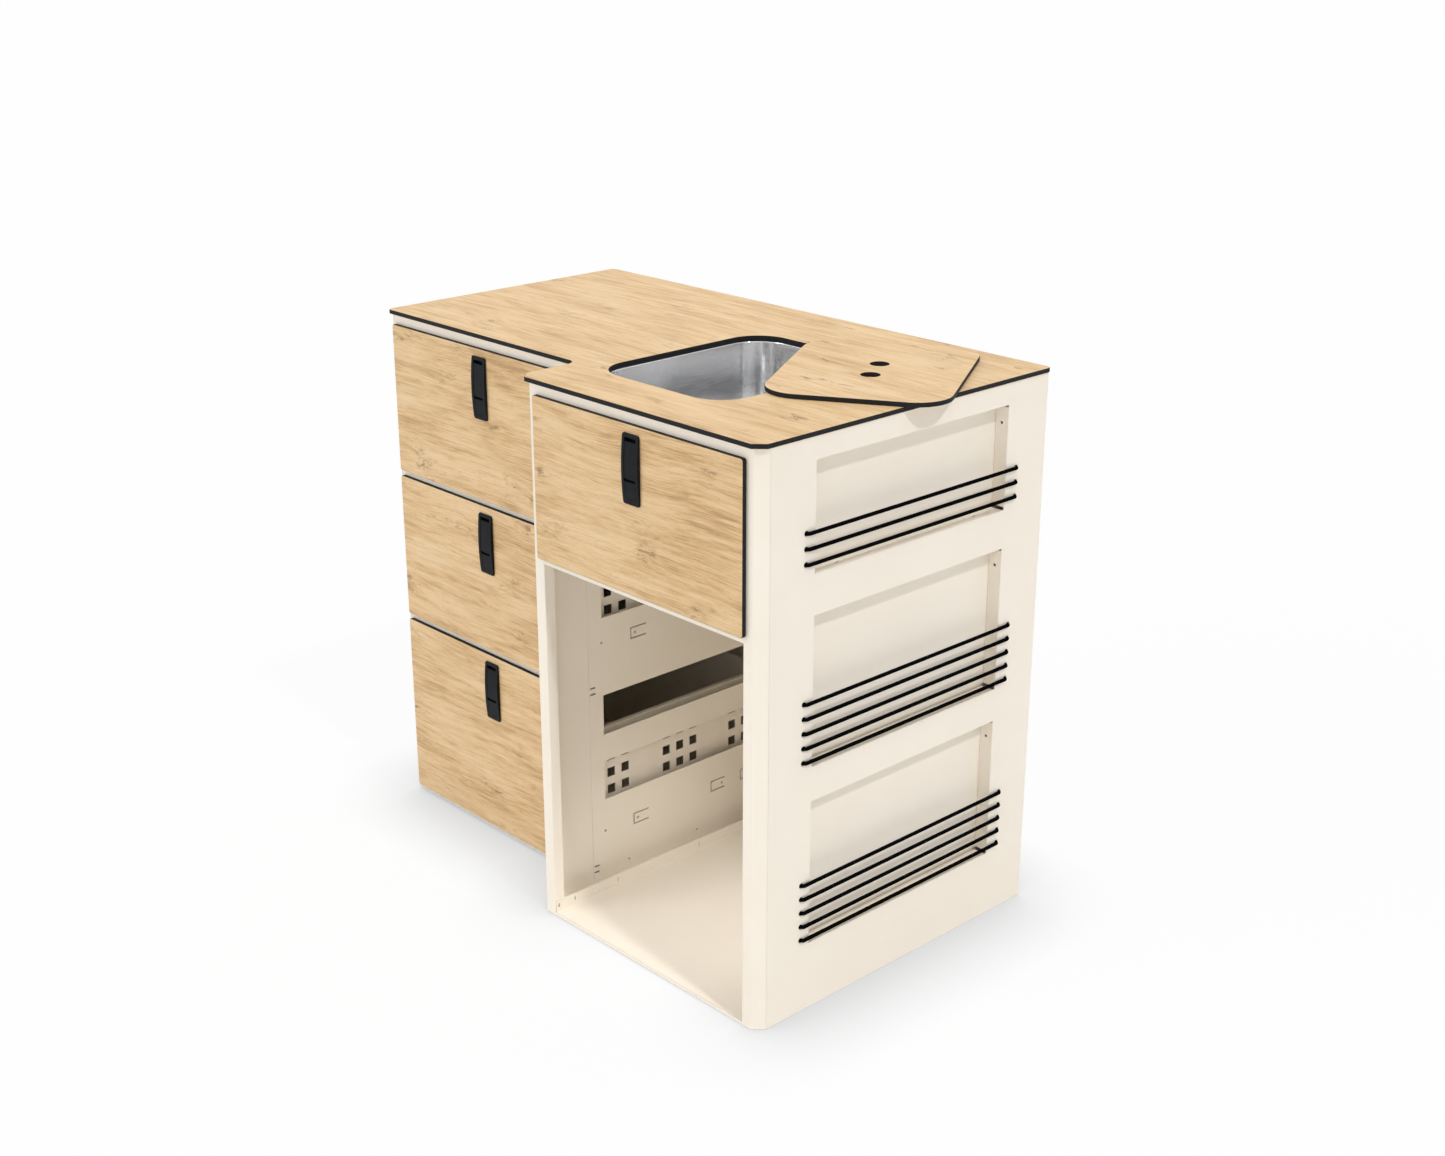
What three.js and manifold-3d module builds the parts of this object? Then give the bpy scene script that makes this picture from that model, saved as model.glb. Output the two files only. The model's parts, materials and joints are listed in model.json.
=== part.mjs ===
// Campervan kitchen pod: an L-shaped worktop with a sink and its loose lid, four latched drawers,
// an open cavity under the sink drawer and three pockets laced with elastic cord in the right side.
// Lengths are millimetres and angles are degrees. The pieces are laid out from the worktop's right
// front corner, with x negative to the left, y positive to the back and z negative below the top
// face. The group at the end moves them so that the origin is on the floor, under the middle of the
// worktop's plan.
import * as THREE from 'three';
import { mergeVertices } from 'three/addons/utils/BufferGeometryUtils.js';
import Module from 'manifold-3d';

// The whole pod
const POD_WIDTH = 876;
const POD_DEPTH = 528;
const POD_HEIGHT = 770;
const SEAT_GAP = 0.3;
const CUT_OVERRUN = 3;

// Worktop
const TOP_THICKNESS = 6;
const NOSE_WIDTH = 442;
const LEFT_SETBACK = 97;
const TOP_CHAMFER = 14;
const TOP_CORNER_RADIUS = 8;
const STEP_FILLET_RADIUS = 15;

// Sink: the cut-out's place is measured from the worktop's right and front edges
const SINK_WIDTH = 239;
const SINK_LENGTH = 299;
const SINK_CORNER_RADIUS = 50;
const SINK_FROM_RIGHT = 161;
const SINK_FROM_FRONT = 90;
const SINK_DEPTH = 147;
const SEAL_THICKNESS = 1.2;
const BASIN_SHEET = 1;
const BASIN_FLANGE = 14;
const BASIN_FOOT_RADIUS = 22;
const DRAIN_RADIUS = 26;
const DRAIN_FROM_BACK_WALL = 58;
const DRAIN_RIM = 6;
const DRAIN_RIM_THICKNESS = 1.6;
const DRAIN_NUT_HEIGHT = 12;
const DRAIN_NUT_WALL = 9;
const DRAIN_TAIL_RADIUS = 16;
const DRAIN_TAIL_LENGTH = 30;
const DRAIN_BORE_RADIUS = 12;

// Lid, lying turned beside the sink
const LID_CLEARANCE = 1.5;
const LID_FROM_RIGHT = 132.8;
const LID_FROM_FRONT = 334.7;
const LID_TURN = 31;
const FINGER_HOLE_RADIUS = 12.5;
const FINGER_HOLE_SPACING = 58;

// Sheet-steel body
const SHEET = 1.5;
const RIGHT_OVERHANG = 2;
const LEFT_OVERHANG = 4;
const BACK_OVERHANG = 4.5;
const BODY_CHAMFER = 14;
const FRAME_GAP = 0.5;
const LEFT_STILE = 18;
const RIGHT_STILE = 16;
const CAVITY_RAIL = 12;
const CAVITY_SILL = 3;
const FRAME_RETURN = 15;
const TOP_FLANGE = 15;
const TOP_RAIL = 30;
const OPENING_FOOT_INSET = 3;
const OPENING_SIDE_CLEARANCE = 0.8;

// Pockets in the right side. Their heights are shares of the pod's height.
const POCKET_DEPTH = 21;
const POCKET_FROM_FRONT = 96;
const POCKET_FROM_BACK = 77.5;
const POCKET_CORNER_RELIEF = 3;
const FLANGE_HOLE_RADIUS = 2;
const FLANGE_HOLE_DROP = 25;
const FLANGE_SLOT_LENGTH = 6;
const FLANGE_SLOT_WIDTH = 3;
const FLANGE_SLOT_INSET = 48;
const CORD_RADIUS = 2.5;
const CORD_PITCH = 19.5;
const CORD_HOLE_RADIUS = 3.6;
const CORD_FRONT_MARGIN = 16;
const CORD_BACK_MARGIN = 20;
const CORD_BEND_RADIUS = 4;
const CORD_KNOT_RADIUS = 5.5;
const UPPER_CORD_RISE = 14.5;
const LOWER_CORD_RISE = 10;
const POCKETS = [
  { name: 'upper', topShare: 0.0468, heightShare: 0.1818, cords: 3, cordRise: UPPER_CORD_RISE },
  { name: 'middle', topShare: 0.2987, heightShare: 0.2584, cords: 5, cordRise: LOWER_CORD_RISE },
  { name: 'lower', topShare: 0.6188, heightShare: 0.2591, cords: 5, cordRise: LOWER_CORD_RISE },
];

// Divider between the cavity and the left drawers
const WINDOW_HEIGHT = 60;
const WINDOW_MARGIN = 25;
const WINDOW_TOP_SHARES = [0.3974, 0.626, 0.7571];
const LANCED_SLOT_LENGTH = 29;
const LANCED_SLOT_HEIGHT = 18;
const LANCED_CUT = 2.2;
const LANCED_SLOT_SHARES = [0.182, 0.545, 0.69];
const LANCED_PIN_SHARES = [0.3, 0.8, 0.3];
const PIN_HOLE_RADIUS = 2;
const PIN_HOLE_SHARE = 0.056;
const FOOT_HOLE_RADIUS = 1.5;
const FOOT_HOLE_RISE = 14.5;
const FOOT_HOLE_SHARES = [0.16, 0.478];
const SEAM_SLOT_LENGTH = 9;
const SEAM_SLOT_INSET = 2;
const SEAM_SLOT_SHARES = [0.605, 0.617, 0.966, 0.978];

// Cavity floor and base sheet
const UPSTAND_HEIGHT = 18;
const UPSTAND_SLOT_WIDTH = 3;
const UPSTAND_SLOT_HEIGHT = 6.5;
const UPSTAND_SLOT_RISE = 6;
const UPSTAND_SLOT_SHARES = [0.0062, 0.0627, 0.1356, 0.2156, 0.5247];
const HOSE_HOLE_WIDTH = 24;
const HOSE_HOLE_LENGTH = 30;
const HOSE_HOLE_SHARE = 0.18;

// Drawer fronts
const FRONT_THICKNESS = 6;
const FRONT_CORNER_RADIUS = 4;
const FIRST_FRONT_DROP = 20.5;
const SINK_FRONT_HEIGHT = 220;
const SMALL_FRONT_HEIGHT = 221;
const FRONT_SPACING = 8.5;
const FRONT_FOOT_GAP = 9;
const SINK_FRONT_OVERLAP = 5.5;
const LEFT_FRONT_INSET = 5.25;

// Drawer boxes, folded from perforated sheet
const LEFT_BOX_LENGTH = 358;
const SINK_BOX_LENGTH = 300;
const BOX_BELOW_FRONT_TOP = 60.5;
const SINK_BOX_HEIGHT = 70;
const BOX_FOOT_RISE = 5;
const BOX_HEM = 8;
const SQUARE_HOLE = 14;
const HOLE_PITCH = 26.4;
const HOLES_IN_GROUP = 3;
const GROUP_PITCHES = 5;
const SMALL_BOX_FIRST_ROW = 26.4;
const DEEP_BOX_FIRST_ROW = 46;
const BOX_EDGE_MARGIN = 14;
const FRONT_WALL_LATCH_CLEARANCE = 1.5;

// Telescopic runners
const RUNNER_GAP = 13;
const RUNNER_HEIGHT = 35;
const RUNNER_SHEET = 1.2;
const RUNNER_LIP = 3;
const RUNNER_FIXED_DEPTH = 9.5;
const RUNNER_MOVING_DEPTH = 4.7;
const RUNNER_SHORTER_THAN_BOX = 8;
const RUNNER_RISE = 68.5;
const SINK_RUNNER_RISE = 37;
const RUNNER_SETBACK = 2;
const PACKER_HEIGHT = 44;

// Latches
const LATCH_WIDTH = 30;
const LATCH_HEIGHT = 90;
const LATCH_DROP = 11;
const LATCH_CORNER_RADIUS = 3;
const LATCH_END_PROUD = 2.2;
const LATCH_MIDDLE_PROUD = 5;
const LATCH_BODY_WIDTH = 24;
const LATCH_BODY_HEIGHT = 78;
const LATCH_BODY_DEPTH = 20;
const LATCH_CLEARANCE = 0.3;
const LATCH_POCKET_DEPTH = 5;
const FINGER_SLOT_WIDTH = 21;
const FINGER_SLOT_HEIGHT = 5;
const FINGER_SLOT_DROP = 5;
const LEVER_WIDTH = 20;
const LEVER_LENGTH = 50;
const LEVER_RECESS = 0.5;
const LEVER_BACK = 1.2;
const LEVER_PIN_RADIUS = 1.2;
const LEVER_PIN_REACH = 1.5;
const LEVER_PIN_RISE = 4;
const LATCH_BAR = 1.5;
const BUTTON_WIDTH = 19;
const BUTTON_HEIGHT = 22;
const BUTTON_FOOT_RADIUS = 6;
const BUTTON_BACK = 2;
const BOLT_WIDTH = 14;
const BOLT_THICKNESS = 6;
const BOLT_LENGTH = 26;
const BOLT_SETBACK = 11;
const BOLT_PROUD = 5.5;
const BOLT_TRAVEL = 5;

// Facets
const BIG_CORNER_FACETS = 8;
const SMALL_CORNER_FACETS = 3;
const ROUND_SIDES = 24;
const SMALL_ROUND_SIDES = 12;
const CORD_SIDES = 8;
const CORD_BEND_FACETS = 3;
const ARCH_FACETS = 6;

// Places worked out from the sizes above
const FLOOR = -POD_HEIGHT;
const BODY_TOP = -TOP_THICKNESS - SEAT_GAP;
const BODY_RIGHT = -RIGHT_OVERHANG;
const BODY_LEFT = -POD_WIDTH + LEFT_OVERHANG;
const BODY_BACK = POD_DEPTH - BACK_OVERHANG;
const NOSE_LEFT = -NOSE_WIDTH + RIGHT_OVERHANG;
const DIVIDER_RIGHT = NOSE_LEFT + SHEET;
const LEFT_INSIDE = BODY_LEFT + SHEET;
const BACK_INSIDE = BODY_BACK - SHEET;
const RIGHT_FRAME_FRONT = FRONT_THICKNESS + FRAME_GAP;
const RIGHT_FRAME_BACK = RIGHT_FRAME_FRONT + SHEET;
const CHAMFER_END = RIGHT_FRAME_FRONT + BODY_CHAMFER;
const LEFT_FRAME_FRONT = LEFT_SETBACK + FRONT_THICKNESS + FRAME_GAP;
const LEFT_FRAME_BACK = LEFT_FRAME_FRONT + SHEET;
const NOSE_SIDE_BACK = LEFT_FRAME_FRONT - SHEET - 2 * SEAT_GAP;
const OPENING_LEFT = NOSE_LEFT + BODY_CHAMFER + LEFT_STILE;
const OPENING_RIGHT = BODY_RIGHT - BODY_CHAMFER - RIGHT_STILE;
const LINER_RIGHT = BODY_RIGHT - POCKET_DEPTH - SEAT_GAP;
const LINER_LEFT = LINER_RIGHT - SHEET;
const BASE_TOP = FLOOR + SHEET;
const STANDING_FOOT = BASE_TOP + SEAT_GAP;
const CAVITY_FLOOR_TOP = STANDING_FOOT + SHEET;
const UPSTAND_TOP = STANDING_FOOT + UPSTAND_HEIGHT;
const CAVITY_FLOOR_LEFT = OPENING_LEFT - SHEET;
const CAVITY_FLOOR_RIGHT = LINER_LEFT - SEAT_GAP;
const SINK_FRONT_FOOT = -FIRST_FRONT_DROP - SINK_FRONT_HEIGHT;
const SINK_OPENING_FOOT = SINK_FRONT_FOOT + OPENING_FOOT_INSET;
const CAVITY_TOP = SINK_OPENING_FOOT - CAVITY_RAIL;
const POCKET_FRONT = POCKET_FROM_FRONT;
const POCKET_BACK = BODY_BACK - POCKET_FROM_BACK;
const LATCH_BODY_DROP = (LATCH_HEIGHT - LATCH_BODY_HEIGHT) / 2;

// The drawers. Each one is described by its front's edges, its box and its runner height.
function leftDrawer(name, frontTop, frontFoot, firstRow) {
  return {
    name,
    face: LEFT_SETBACK,
    frontLeft: LEFT_INSIDE + LEFT_FRONT_INSET,
    frontRight: NOSE_LEFT - LEFT_FRONT_INSET,
    frontTop,
    frontFoot,
    boxLeft: LEFT_INSIDE + RUNNER_GAP,
    boxRight: NOSE_LEFT - RUNNER_GAP,
    boxTop: frontTop - BOX_BELOW_FRONT_TOP,
    boxFoot: frontFoot + BOX_FOOT_RISE,
    boxLength: LEFT_BOX_LENGTH,
    firstRow,
    runnerHeight: frontFoot + RUNNER_RISE,
  };
}

const UPPER_TOP = -FIRST_FRONT_DROP;
const UPPER_FOOT = UPPER_TOP - SMALL_FRONT_HEIGHT;
const MIDDLE_TOP = UPPER_FOOT - FRONT_SPACING;
const MIDDLE_FOOT = MIDDLE_TOP - SMALL_FRONT_HEIGHT;
const LOWER_TOP = MIDDLE_FOOT - FRONT_SPACING;
const LOWER_FOOT = FLOOR + FRONT_FOOT_GAP;

const LEFT_DRAWERS = [
  leftDrawer('upper', UPPER_TOP, UPPER_FOOT, SMALL_BOX_FIRST_ROW),
  leftDrawer('middle', MIDDLE_TOP, MIDDLE_FOOT, SMALL_BOX_FIRST_ROW),
  leftDrawer('lower', LOWER_TOP, LOWER_FOOT, DEEP_BOX_FIRST_ROW),
];

const SINK_BOX_RIGHT = LINER_LEFT - RUNNER_GAP;
const SINK_BOX_LEFT = OPENING_LEFT + OPENING_RIGHT - SINK_BOX_RIGHT;
const SINK_DRAWER = {
  name: 'sink',
  face: 0,
  frontLeft: OPENING_LEFT - SINK_FRONT_OVERLAP,
  frontRight: OPENING_RIGHT + SINK_FRONT_OVERLAP,
  frontTop: -FIRST_FRONT_DROP,
  frontFoot: SINK_FRONT_FOOT,
  boxLeft: SINK_BOX_LEFT,
  boxRight: SINK_BOX_RIGHT,
  boxTop: SINK_FRONT_FOOT + BOX_FOOT_RISE + SINK_BOX_HEIGHT,
  boxFoot: SINK_FRONT_FOOT + BOX_FOOT_RISE,
  boxLength: SINK_BOX_LENGTH,
  firstRow: SMALL_BOX_FIRST_ROW,
  runnerHeight: SINK_FRONT_FOOT + SINK_RUNNER_RISE,
};

// Materials
const oak = new THREE.MeshStandardMaterial({ color: 0xe6c48f, roughness: 0.55 });
const cream = new THREE.MeshStandardMaterial({ color: 0xf3e9d8, roughness: 0.5 });
const blackPlastic = new THREE.MeshStandardMaterial({ color: 0x26282b, roughness: 0.45 });
const stainless = new THREE.MeshStandardMaterial({ color: 0xc4c7ca, roughness: 0.3, metalness: 1 });
const zincSteel = new THREE.MeshStandardMaterial({ color: 0xb4b8bb, roughness: 0.4, metalness: 1 });
const blackRubber = new THREE.MeshStandardMaterial({ color: 0x1d1d1f, roughness: 0.8 });
const elastic = new THREE.MeshStandardMaterial({ color: 0x141416, roughness: 0.85 });

// Solids
const wasm = await Module();
wasm.setup();

function solid(geometry) {
  const bare = new THREE.BufferGeometry();
  bare.setAttribute('position', geometry.getAttribute('position'));
  if (geometry.index) {
    bare.setIndex(geometry.index);
  }
  const merged = mergeVertices(bare);
  return new wasm.Manifold(new wasm.Mesh({
    numProp: 3,
    vertProperties: new Float32Array(merged.getAttribute('position').array),
    triVerts: new Uint32Array(merged.index.array),
  }));
}

function join(first, ...others) {
  return others.reduce((whole, other) => whole.add(other), first);
}

function cut(body, ...cutters) {
  return cutters.reduce((rest, cutter) => rest.subtract(cutter), body);
}

function block(x0, x1, y0, y1, z0, z1) {
  const geometry = new THREE.BoxGeometry(x1 - x0, y1 - y0, z1 - z0);
  geometry.translate((x0 + x1) / 2, (y0 + y1) / 2, (z0 + z1) / 2);
  return solid(geometry);
}

// A slab's outline is drawn in the plane across its axis: (y, z) across x, (x, z) across y and
// (x, y) across z. It fills the stretch of that axis between from and to.
const SLAB_FRAMES = {
  x: (from) => [[0, 1, 0], [0, 0, 1], [1, 0, 0], [from, 0, 0]],
  y: (from, to) => [[1, 0, 0], [0, 0, 1], [0, -1, 0], [0, to, 0]],
  z: (from) => [[1, 0, 0], [0, 1, 0], [0, 0, 1], [0, 0, from]],
};

function prism(axis, from, to, outline) {
  const shape = new THREE.Shape(outline);
  const geometry = new THREE.ExtrudeGeometry(shape, { depth: to - from, bevelEnabled: false });
  const [across, up, along, place] = SLAB_FRAMES[axis](from, to).map((v) => new THREE.Vector3(...v));
  geometry.applyMatrix4(new THREE.Matrix4().makeBasis(across, up, along).setPosition(place));
  return solid(geometry);
}

function slab(axis, from, to, outline, holes = []) {
  const cutters = holes.map((hole) => prism(axis, from - CUT_OVERRUN, to + CUT_OVERRUN, hole));
  return cut(prism(axis, from, to, outline), ...cutters);
}

// An outline through [u, v, radius] corners, with each corner rounded to its radius
function rounded(corners, facets) {
  const points = [];
  corners.forEach(([u, v, radius], index) => {
    const corner = new THREE.Vector2(u, v);
    if (!radius) {
      points.push(corner);
      return;
    }
    const [beforeU, beforeV] = corners[(index + corners.length - 1) % corners.length];
    const [afterU, afterV] = corners[(index + 1) % corners.length];
    const toBefore = new THREE.Vector2(beforeU - u, beforeV - v).normalize();
    const toAfter = new THREE.Vector2(afterU - u, afterV - v).normalize();
    const halfAngle = toBefore.angleTo(toAfter) / 2;
    const middle = toBefore.clone().add(toAfter).normalize();
    const centre = corner.clone().addScaledVector(middle, radius / Math.sin(halfAngle));
    const run = radius / Math.tan(halfAngle);
    const start = corner.clone().addScaledVector(toBefore, run).sub(centre);
    const end = corner.clone().addScaledVector(toAfter, run).sub(centre);
    const turn = Math.atan2(start.cross(end), start.dot(end));
    for (let facet = 0; facet <= facets; facet += 1) {
      const angle = start.angle() + (turn * facet) / facets;
      points.push(new THREE.Vector2(Math.cos(angle), Math.sin(angle)).multiplyScalar(radius).add(centre));
    }
  });
  return points;
}

function rectangle(u0, u1, v0, v1, radius = 0, facets = SMALL_CORNER_FACETS) {
  return rounded([[u0, v0, radius], [u1, v0, radius], [u1, v1, radius], [u0, v1, radius]], facets);
}

function circle(u, v, radius, sides = ROUND_SIDES) {
  const points = [];
  for (let side = 0; side < sides; side += 1) {
    const angle = (2 * Math.PI * side) / sides;
    points.push(new THREE.Vector2(u + radius * Math.cos(angle), v + radius * Math.sin(angle)));
  }
  return points;
}

// A solid through level rings of points, from the lowest to the highest, all with as many points
function loft(rings) {
  const count = rings[0].length;
  const positions = rings.flat().flatMap((point) => [point.x, point.y, point.z]);
  const indices = [];
  for (let row = 0; row < rings.length - 1; row += 1) {
    for (let column = 0; column < count; column += 1) {
      const beside = (column + 1) % count;
      const low = row * count;
      const high = low + count;
      indices.push(low + column, low + beside, high + beside, low + column, high + beside, high + column);
    }
  }
  const last = (rings.length - 1) * count;
  for (let column = 1; column < count - 1; column += 1) {
    indices.push(0, column + 1, column);
    indices.push(last, last + column, last + column + 1);
  }
  const geometry = new THREE.BufferGeometry();
  geometry.setAttribute('position', new THREE.Float32BufferAttribute(positions, 3));
  geometry.setIndex(indices);
  return solid(geometry);
}

const pod = new THREE.Group();
pod.position.set(POD_WIDTH / 2, -POD_DEPTH / 2, POD_HEIGHT);

function piece(name, body, material, group = pod) {
  const source = body.getMesh();
  const geometry = new THREE.BufferGeometry();
  geometry.setAttribute('position', new THREE.Float32BufferAttribute(source.vertProperties, 3));
  geometry.setIndex(new THREE.Uint32BufferAttribute(source.triVerts, 1));
  geometry.computeVertexNormals();
  const mesh = new THREE.Mesh(geometry, material);
  mesh.name = name;
  group.add(mesh);
  return mesh;
}

// Worktop and sink
const SINK_LEFT = -SINK_FROM_RIGHT - SINK_WIDTH;
const SINK_RIGHT = -SINK_FROM_RIGHT;
const SINK_BACK = SINK_FROM_FRONT + SINK_LENGTH;

function sinkOutline(spread) {
  return rectangle(
    SINK_LEFT - spread,
    SINK_RIGHT + spread,
    SINK_FROM_FRONT - spread,
    SINK_BACK + spread,
    SINK_CORNER_RADIUS + spread,
    BIG_CORNER_FACETS,
  );
}

function worktop() {
  const outline = rounded([
    [-NOSE_WIDTH + TOP_CHAMFER, 0, 0],
    [-TOP_CHAMFER, 0, 0],
    [0, TOP_CHAMFER, 0],
    [0, POD_DEPTH, TOP_CORNER_RADIUS],
    [-POD_WIDTH, POD_DEPTH, TOP_CORNER_RADIUS],
    [-POD_WIDTH, LEFT_SETBACK, TOP_CORNER_RADIUS],
    [-NOSE_WIDTH, LEFT_SETBACK, STEP_FILLET_RADIUS],
    [-NOSE_WIDTH, TOP_CHAMFER, 0],
  ], SMALL_CORNER_FACETS);
  return slab('z', -TOP_THICKNESS, 0, outline, [sinkOutline(0)]);
}

const SEAL_TOP = -TOP_THICKNESS - SEAT_GAP;
const BASIN_TOP = SEAL_TOP - SEAL_THICKNESS - SEAT_GAP;
const DRAIN_X = (SINK_LEFT + SINK_RIGHT) / 2;
const DRAIN_Y = SINK_BACK - DRAIN_FROM_BACK_WALL;
const DRAIN_HOLE_RADIUS = (DRAIN_RADIUS + SEAT_GAP) / Math.cos(Math.PI / ROUND_SIDES);

function sinkSeal() {
  return slab('z', SEAL_TOP - SEAL_THICKNESS, SEAL_TOP, sinkOutline(BASIN_FLANGE), [sinkOutline(0)]);
}

// The tub's outline is spread by its wall, and its foot is drawn in by the foot's radius
function tub(spread, foot, top, footRadius) {
  const at = (outline, z) => outline.map((point) => new THREE.Vector3(point.x, point.y, z));
  const rings = [];
  for (let facet = 0; facet <= SMALL_CORNER_FACETS; facet += 1) {
    const angle = (Math.PI / 2) * (facet / SMALL_CORNER_FACETS);
    const inset = footRadius * (1 - Math.sin(angle));
    rings.push(at(sinkOutline(spread - inset), foot + footRadius * (1 - Math.cos(angle))));
  }
  rings.push(at(sinkOutline(spread), top));
  return loft(rings);
}

function sinkBasin() {
  const outside = tub(BASIN_SHEET, -SINK_DEPTH - BASIN_SHEET, BASIN_TOP, BASIN_FOOT_RADIUS + BASIN_SHEET);
  const flange = prism('z', BASIN_TOP - BASIN_SHEET, BASIN_TOP, sinkOutline(BASIN_FLANGE));
  const inside = tub(0, -SINK_DEPTH, BASIN_TOP + CUT_OVERRUN, BASIN_FOOT_RADIUS);
  const drainHole = circle(DRAIN_X, DRAIN_Y, DRAIN_HOLE_RADIUS);
  const through = prism('z', -SINK_DEPTH - BASIN_SHEET - CUT_OVERRUN, -SINK_DEPTH + CUT_OVERRUN, drainHole);
  return cut(join(outside, flange), inside, through);
}

function sinkDrain() {
  const rimFoot = -SINK_DEPTH + SEAT_GAP;
  const nutTop = -SINK_DEPTH - BASIN_SHEET - SEAT_GAP;
  const nutFoot = nutTop - DRAIN_NUT_HEIGHT;
  const profile = [
    [DRAIN_BORE_RADIUS, rimFoot],
    [DRAIN_RADIUS, rimFoot + DRAIN_RIM_THICKNESS],
    [DRAIN_RADIUS + DRAIN_RIM, rimFoot + DRAIN_RIM_THICKNESS / 2],
    [DRAIN_RADIUS + DRAIN_RIM, rimFoot],
    [DRAIN_RADIUS, rimFoot],
    [DRAIN_RADIUS, nutTop],
    [DRAIN_RADIUS + DRAIN_NUT_WALL, nutTop],
    [DRAIN_RADIUS + DRAIN_NUT_WALL, nutFoot],
    [DRAIN_TAIL_RADIUS, nutFoot],
    [DRAIN_TAIL_RADIUS, nutFoot - DRAIN_TAIL_LENGTH],
    [DRAIN_BORE_RADIUS, nutFoot - DRAIN_TAIL_LENGTH],
    [DRAIN_BORE_RADIUS, rimFoot],
  ].map(([radius, height]) => new THREE.Vector2(radius, height)).reverse();
  const geometry = new THREE.LatheGeometry(profile, ROUND_SIDES);
  geometry.rotateX(Math.PI / 2);
  geometry.translate(DRAIN_X, DRAIN_Y, 0);
  return solid(geometry);
}

function sinkLid() {
  const halfWidth = SINK_WIDTH / 2 - LID_CLEARANCE;
  const halfLength = SINK_LENGTH / 2 - LID_CLEARANCE;
  const radius = SINK_CORNER_RADIUS - LID_CLEARANCE;
  const outline = rectangle(-halfWidth, halfWidth, -halfLength, halfLength, radius, BIG_CORNER_FACETS);
  const holes = [-1, 1].map((side) => circle(0, (side * FINGER_HOLE_SPACING) / 2, FINGER_HOLE_RADIUS));
  return slab('z', 0, TOP_THICKNESS, outline, holes);
}

piece('worktop', worktop(), oak);
piece('sink_seal', sinkSeal(), blackRubber);
piece('sink_basin', sinkBasin(), stainless);
piece('sink_drain', sinkDrain(), stainless);
const lid = piece('sink_lid', sinkLid(), oak);
lid.position.set(-LID_FROM_RIGHT, LID_FROM_FRONT, SEAT_GAP);
lid.rotation.z = THREE.MathUtils.degToRad(LID_TURN);

// Sheet-steel body
const TURN_SHARE = Math.tan(Math.PI / 8);
const RETURN_BACK = RIGHT_FRAME_BACK + FRAME_RETURN;

// The right front frame is one folded sheet: the nose's left side, a chamfer, the front with the
// drawer and cavity openings, and the right chamfer
function rightFrontFrame() {
  const plan = [
    [NOSE_LEFT, NOSE_SIDE_BACK],
    [NOSE_LEFT, CHAMFER_END],
    [NOSE_LEFT + BODY_CHAMFER, RIGHT_FRAME_FRONT],
    [BODY_RIGHT - BODY_CHAMFER, RIGHT_FRAME_FRONT],
    [BODY_RIGHT, CHAMFER_END],
    [BODY_RIGHT - SHEET * Math.SQRT2, CHAMFER_END],
    [BODY_RIGHT - BODY_CHAMFER - SHEET * TURN_SHARE, RIGHT_FRAME_BACK],
    [NOSE_LEFT + BODY_CHAMFER + SHEET * TURN_SHARE, RIGHT_FRAME_BACK],
    [DIVIDER_RIGHT, CHAMFER_END + SHEET * TURN_SHARE],
    [DIVIDER_RIGHT, NOSE_SIDE_BACK],
  ].map(([x, y]) => new THREE.Vector2(x, y));
  const folded = slab('z', FLOOR, BODY_TOP, plan);
  const through = [RIGHT_FRAME_FRONT - CUT_OVERRUN, RIGHT_FRAME_BACK + CUT_OVERRUN];
  const opened = cut(
    folded,
    block(OPENING_LEFT, OPENING_RIGHT, ...through, SINK_OPENING_FOOT, -TOP_RAIL),
    block(OPENING_LEFT, OPENING_RIGHT, ...through, FLOOR + CAVITY_SILL, CAVITY_TOP),
  );
  const returnDepth = [RIGHT_FRAME_FRONT, RETURN_BACK];
  const leftReturn = [UPSTAND_TOP + SEAT_GAP, CAVITY_TOP + SHEET];
  const rightReturn = [CAVITY_FLOOR_TOP + SEAT_GAP, CAVITY_TOP + SHEET];
  const flangeDepth = [RIGHT_FRAME_FRONT, RIGHT_FRAME_FRONT + TOP_FLANGE];
  return join(
    opened,
    block(OPENING_LEFT - SHEET, OPENING_LEFT, ...returnDepth, ...leftReturn),
    block(OPENING_RIGHT, OPENING_RIGHT + SHEET, ...returnDepth, ...rightReturn),
    block(OPENING_LEFT - SHEET, OPENING_RIGHT + SHEET, ...returnDepth, CAVITY_TOP, CAVITY_TOP + SHEET),
    block(OPENING_LEFT, OPENING_RIGHT, ...flangeDepth, BODY_TOP - SHEET, BODY_TOP),
  );
}

// The left front frame closes the left block's front, with one opening for each drawer
function leftFrontFrame() {
  const left = LEFT_INSIDE + SEAT_GAP;
  const right = NOSE_LEFT - SEAT_GAP;
  const openings = LEFT_DRAWERS.map((drawer) => {
    const spread = RUNNER_MOVING_DEPTH + OPENING_SIDE_CLEARANCE;
    const top = drawer.frontTop + FIRST_FRONT_DROP - TOP_RAIL;
    return rectangle(
      drawer.boxLeft - spread,
      drawer.boxRight + spread,
      drawer.frontFoot + OPENING_FOOT_INSET,
      top,
    );
  });
  const outline = rectangle(left, right, FLOOR, BODY_TOP);
  const front = slab('y', LEFT_FRAME_FRONT, LEFT_FRAME_BACK, outline, openings);
  const flangeBack = LEFT_FRAME_FRONT + TOP_FLANGE;
  return join(front, block(left, right, LEFT_FRAME_FRONT, flangeBack, BODY_TOP - SHEET, BODY_TOP));
}

function leftSidePanel() {
  const flange = [LEFT_FRAME_FRONT + TOP_FLANGE + SEAT_GAP, BACK_INSIDE - TOP_FLANGE - SEAT_GAP];
  return join(
    block(BODY_LEFT, LEFT_INSIDE, LEFT_FRAME_FRONT, BODY_BACK, FLOOR, BODY_TOP),
    block(BODY_LEFT, BODY_LEFT + TOP_FLANGE, ...flange, BODY_TOP - SHEET, BODY_TOP),
  );
}

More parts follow.
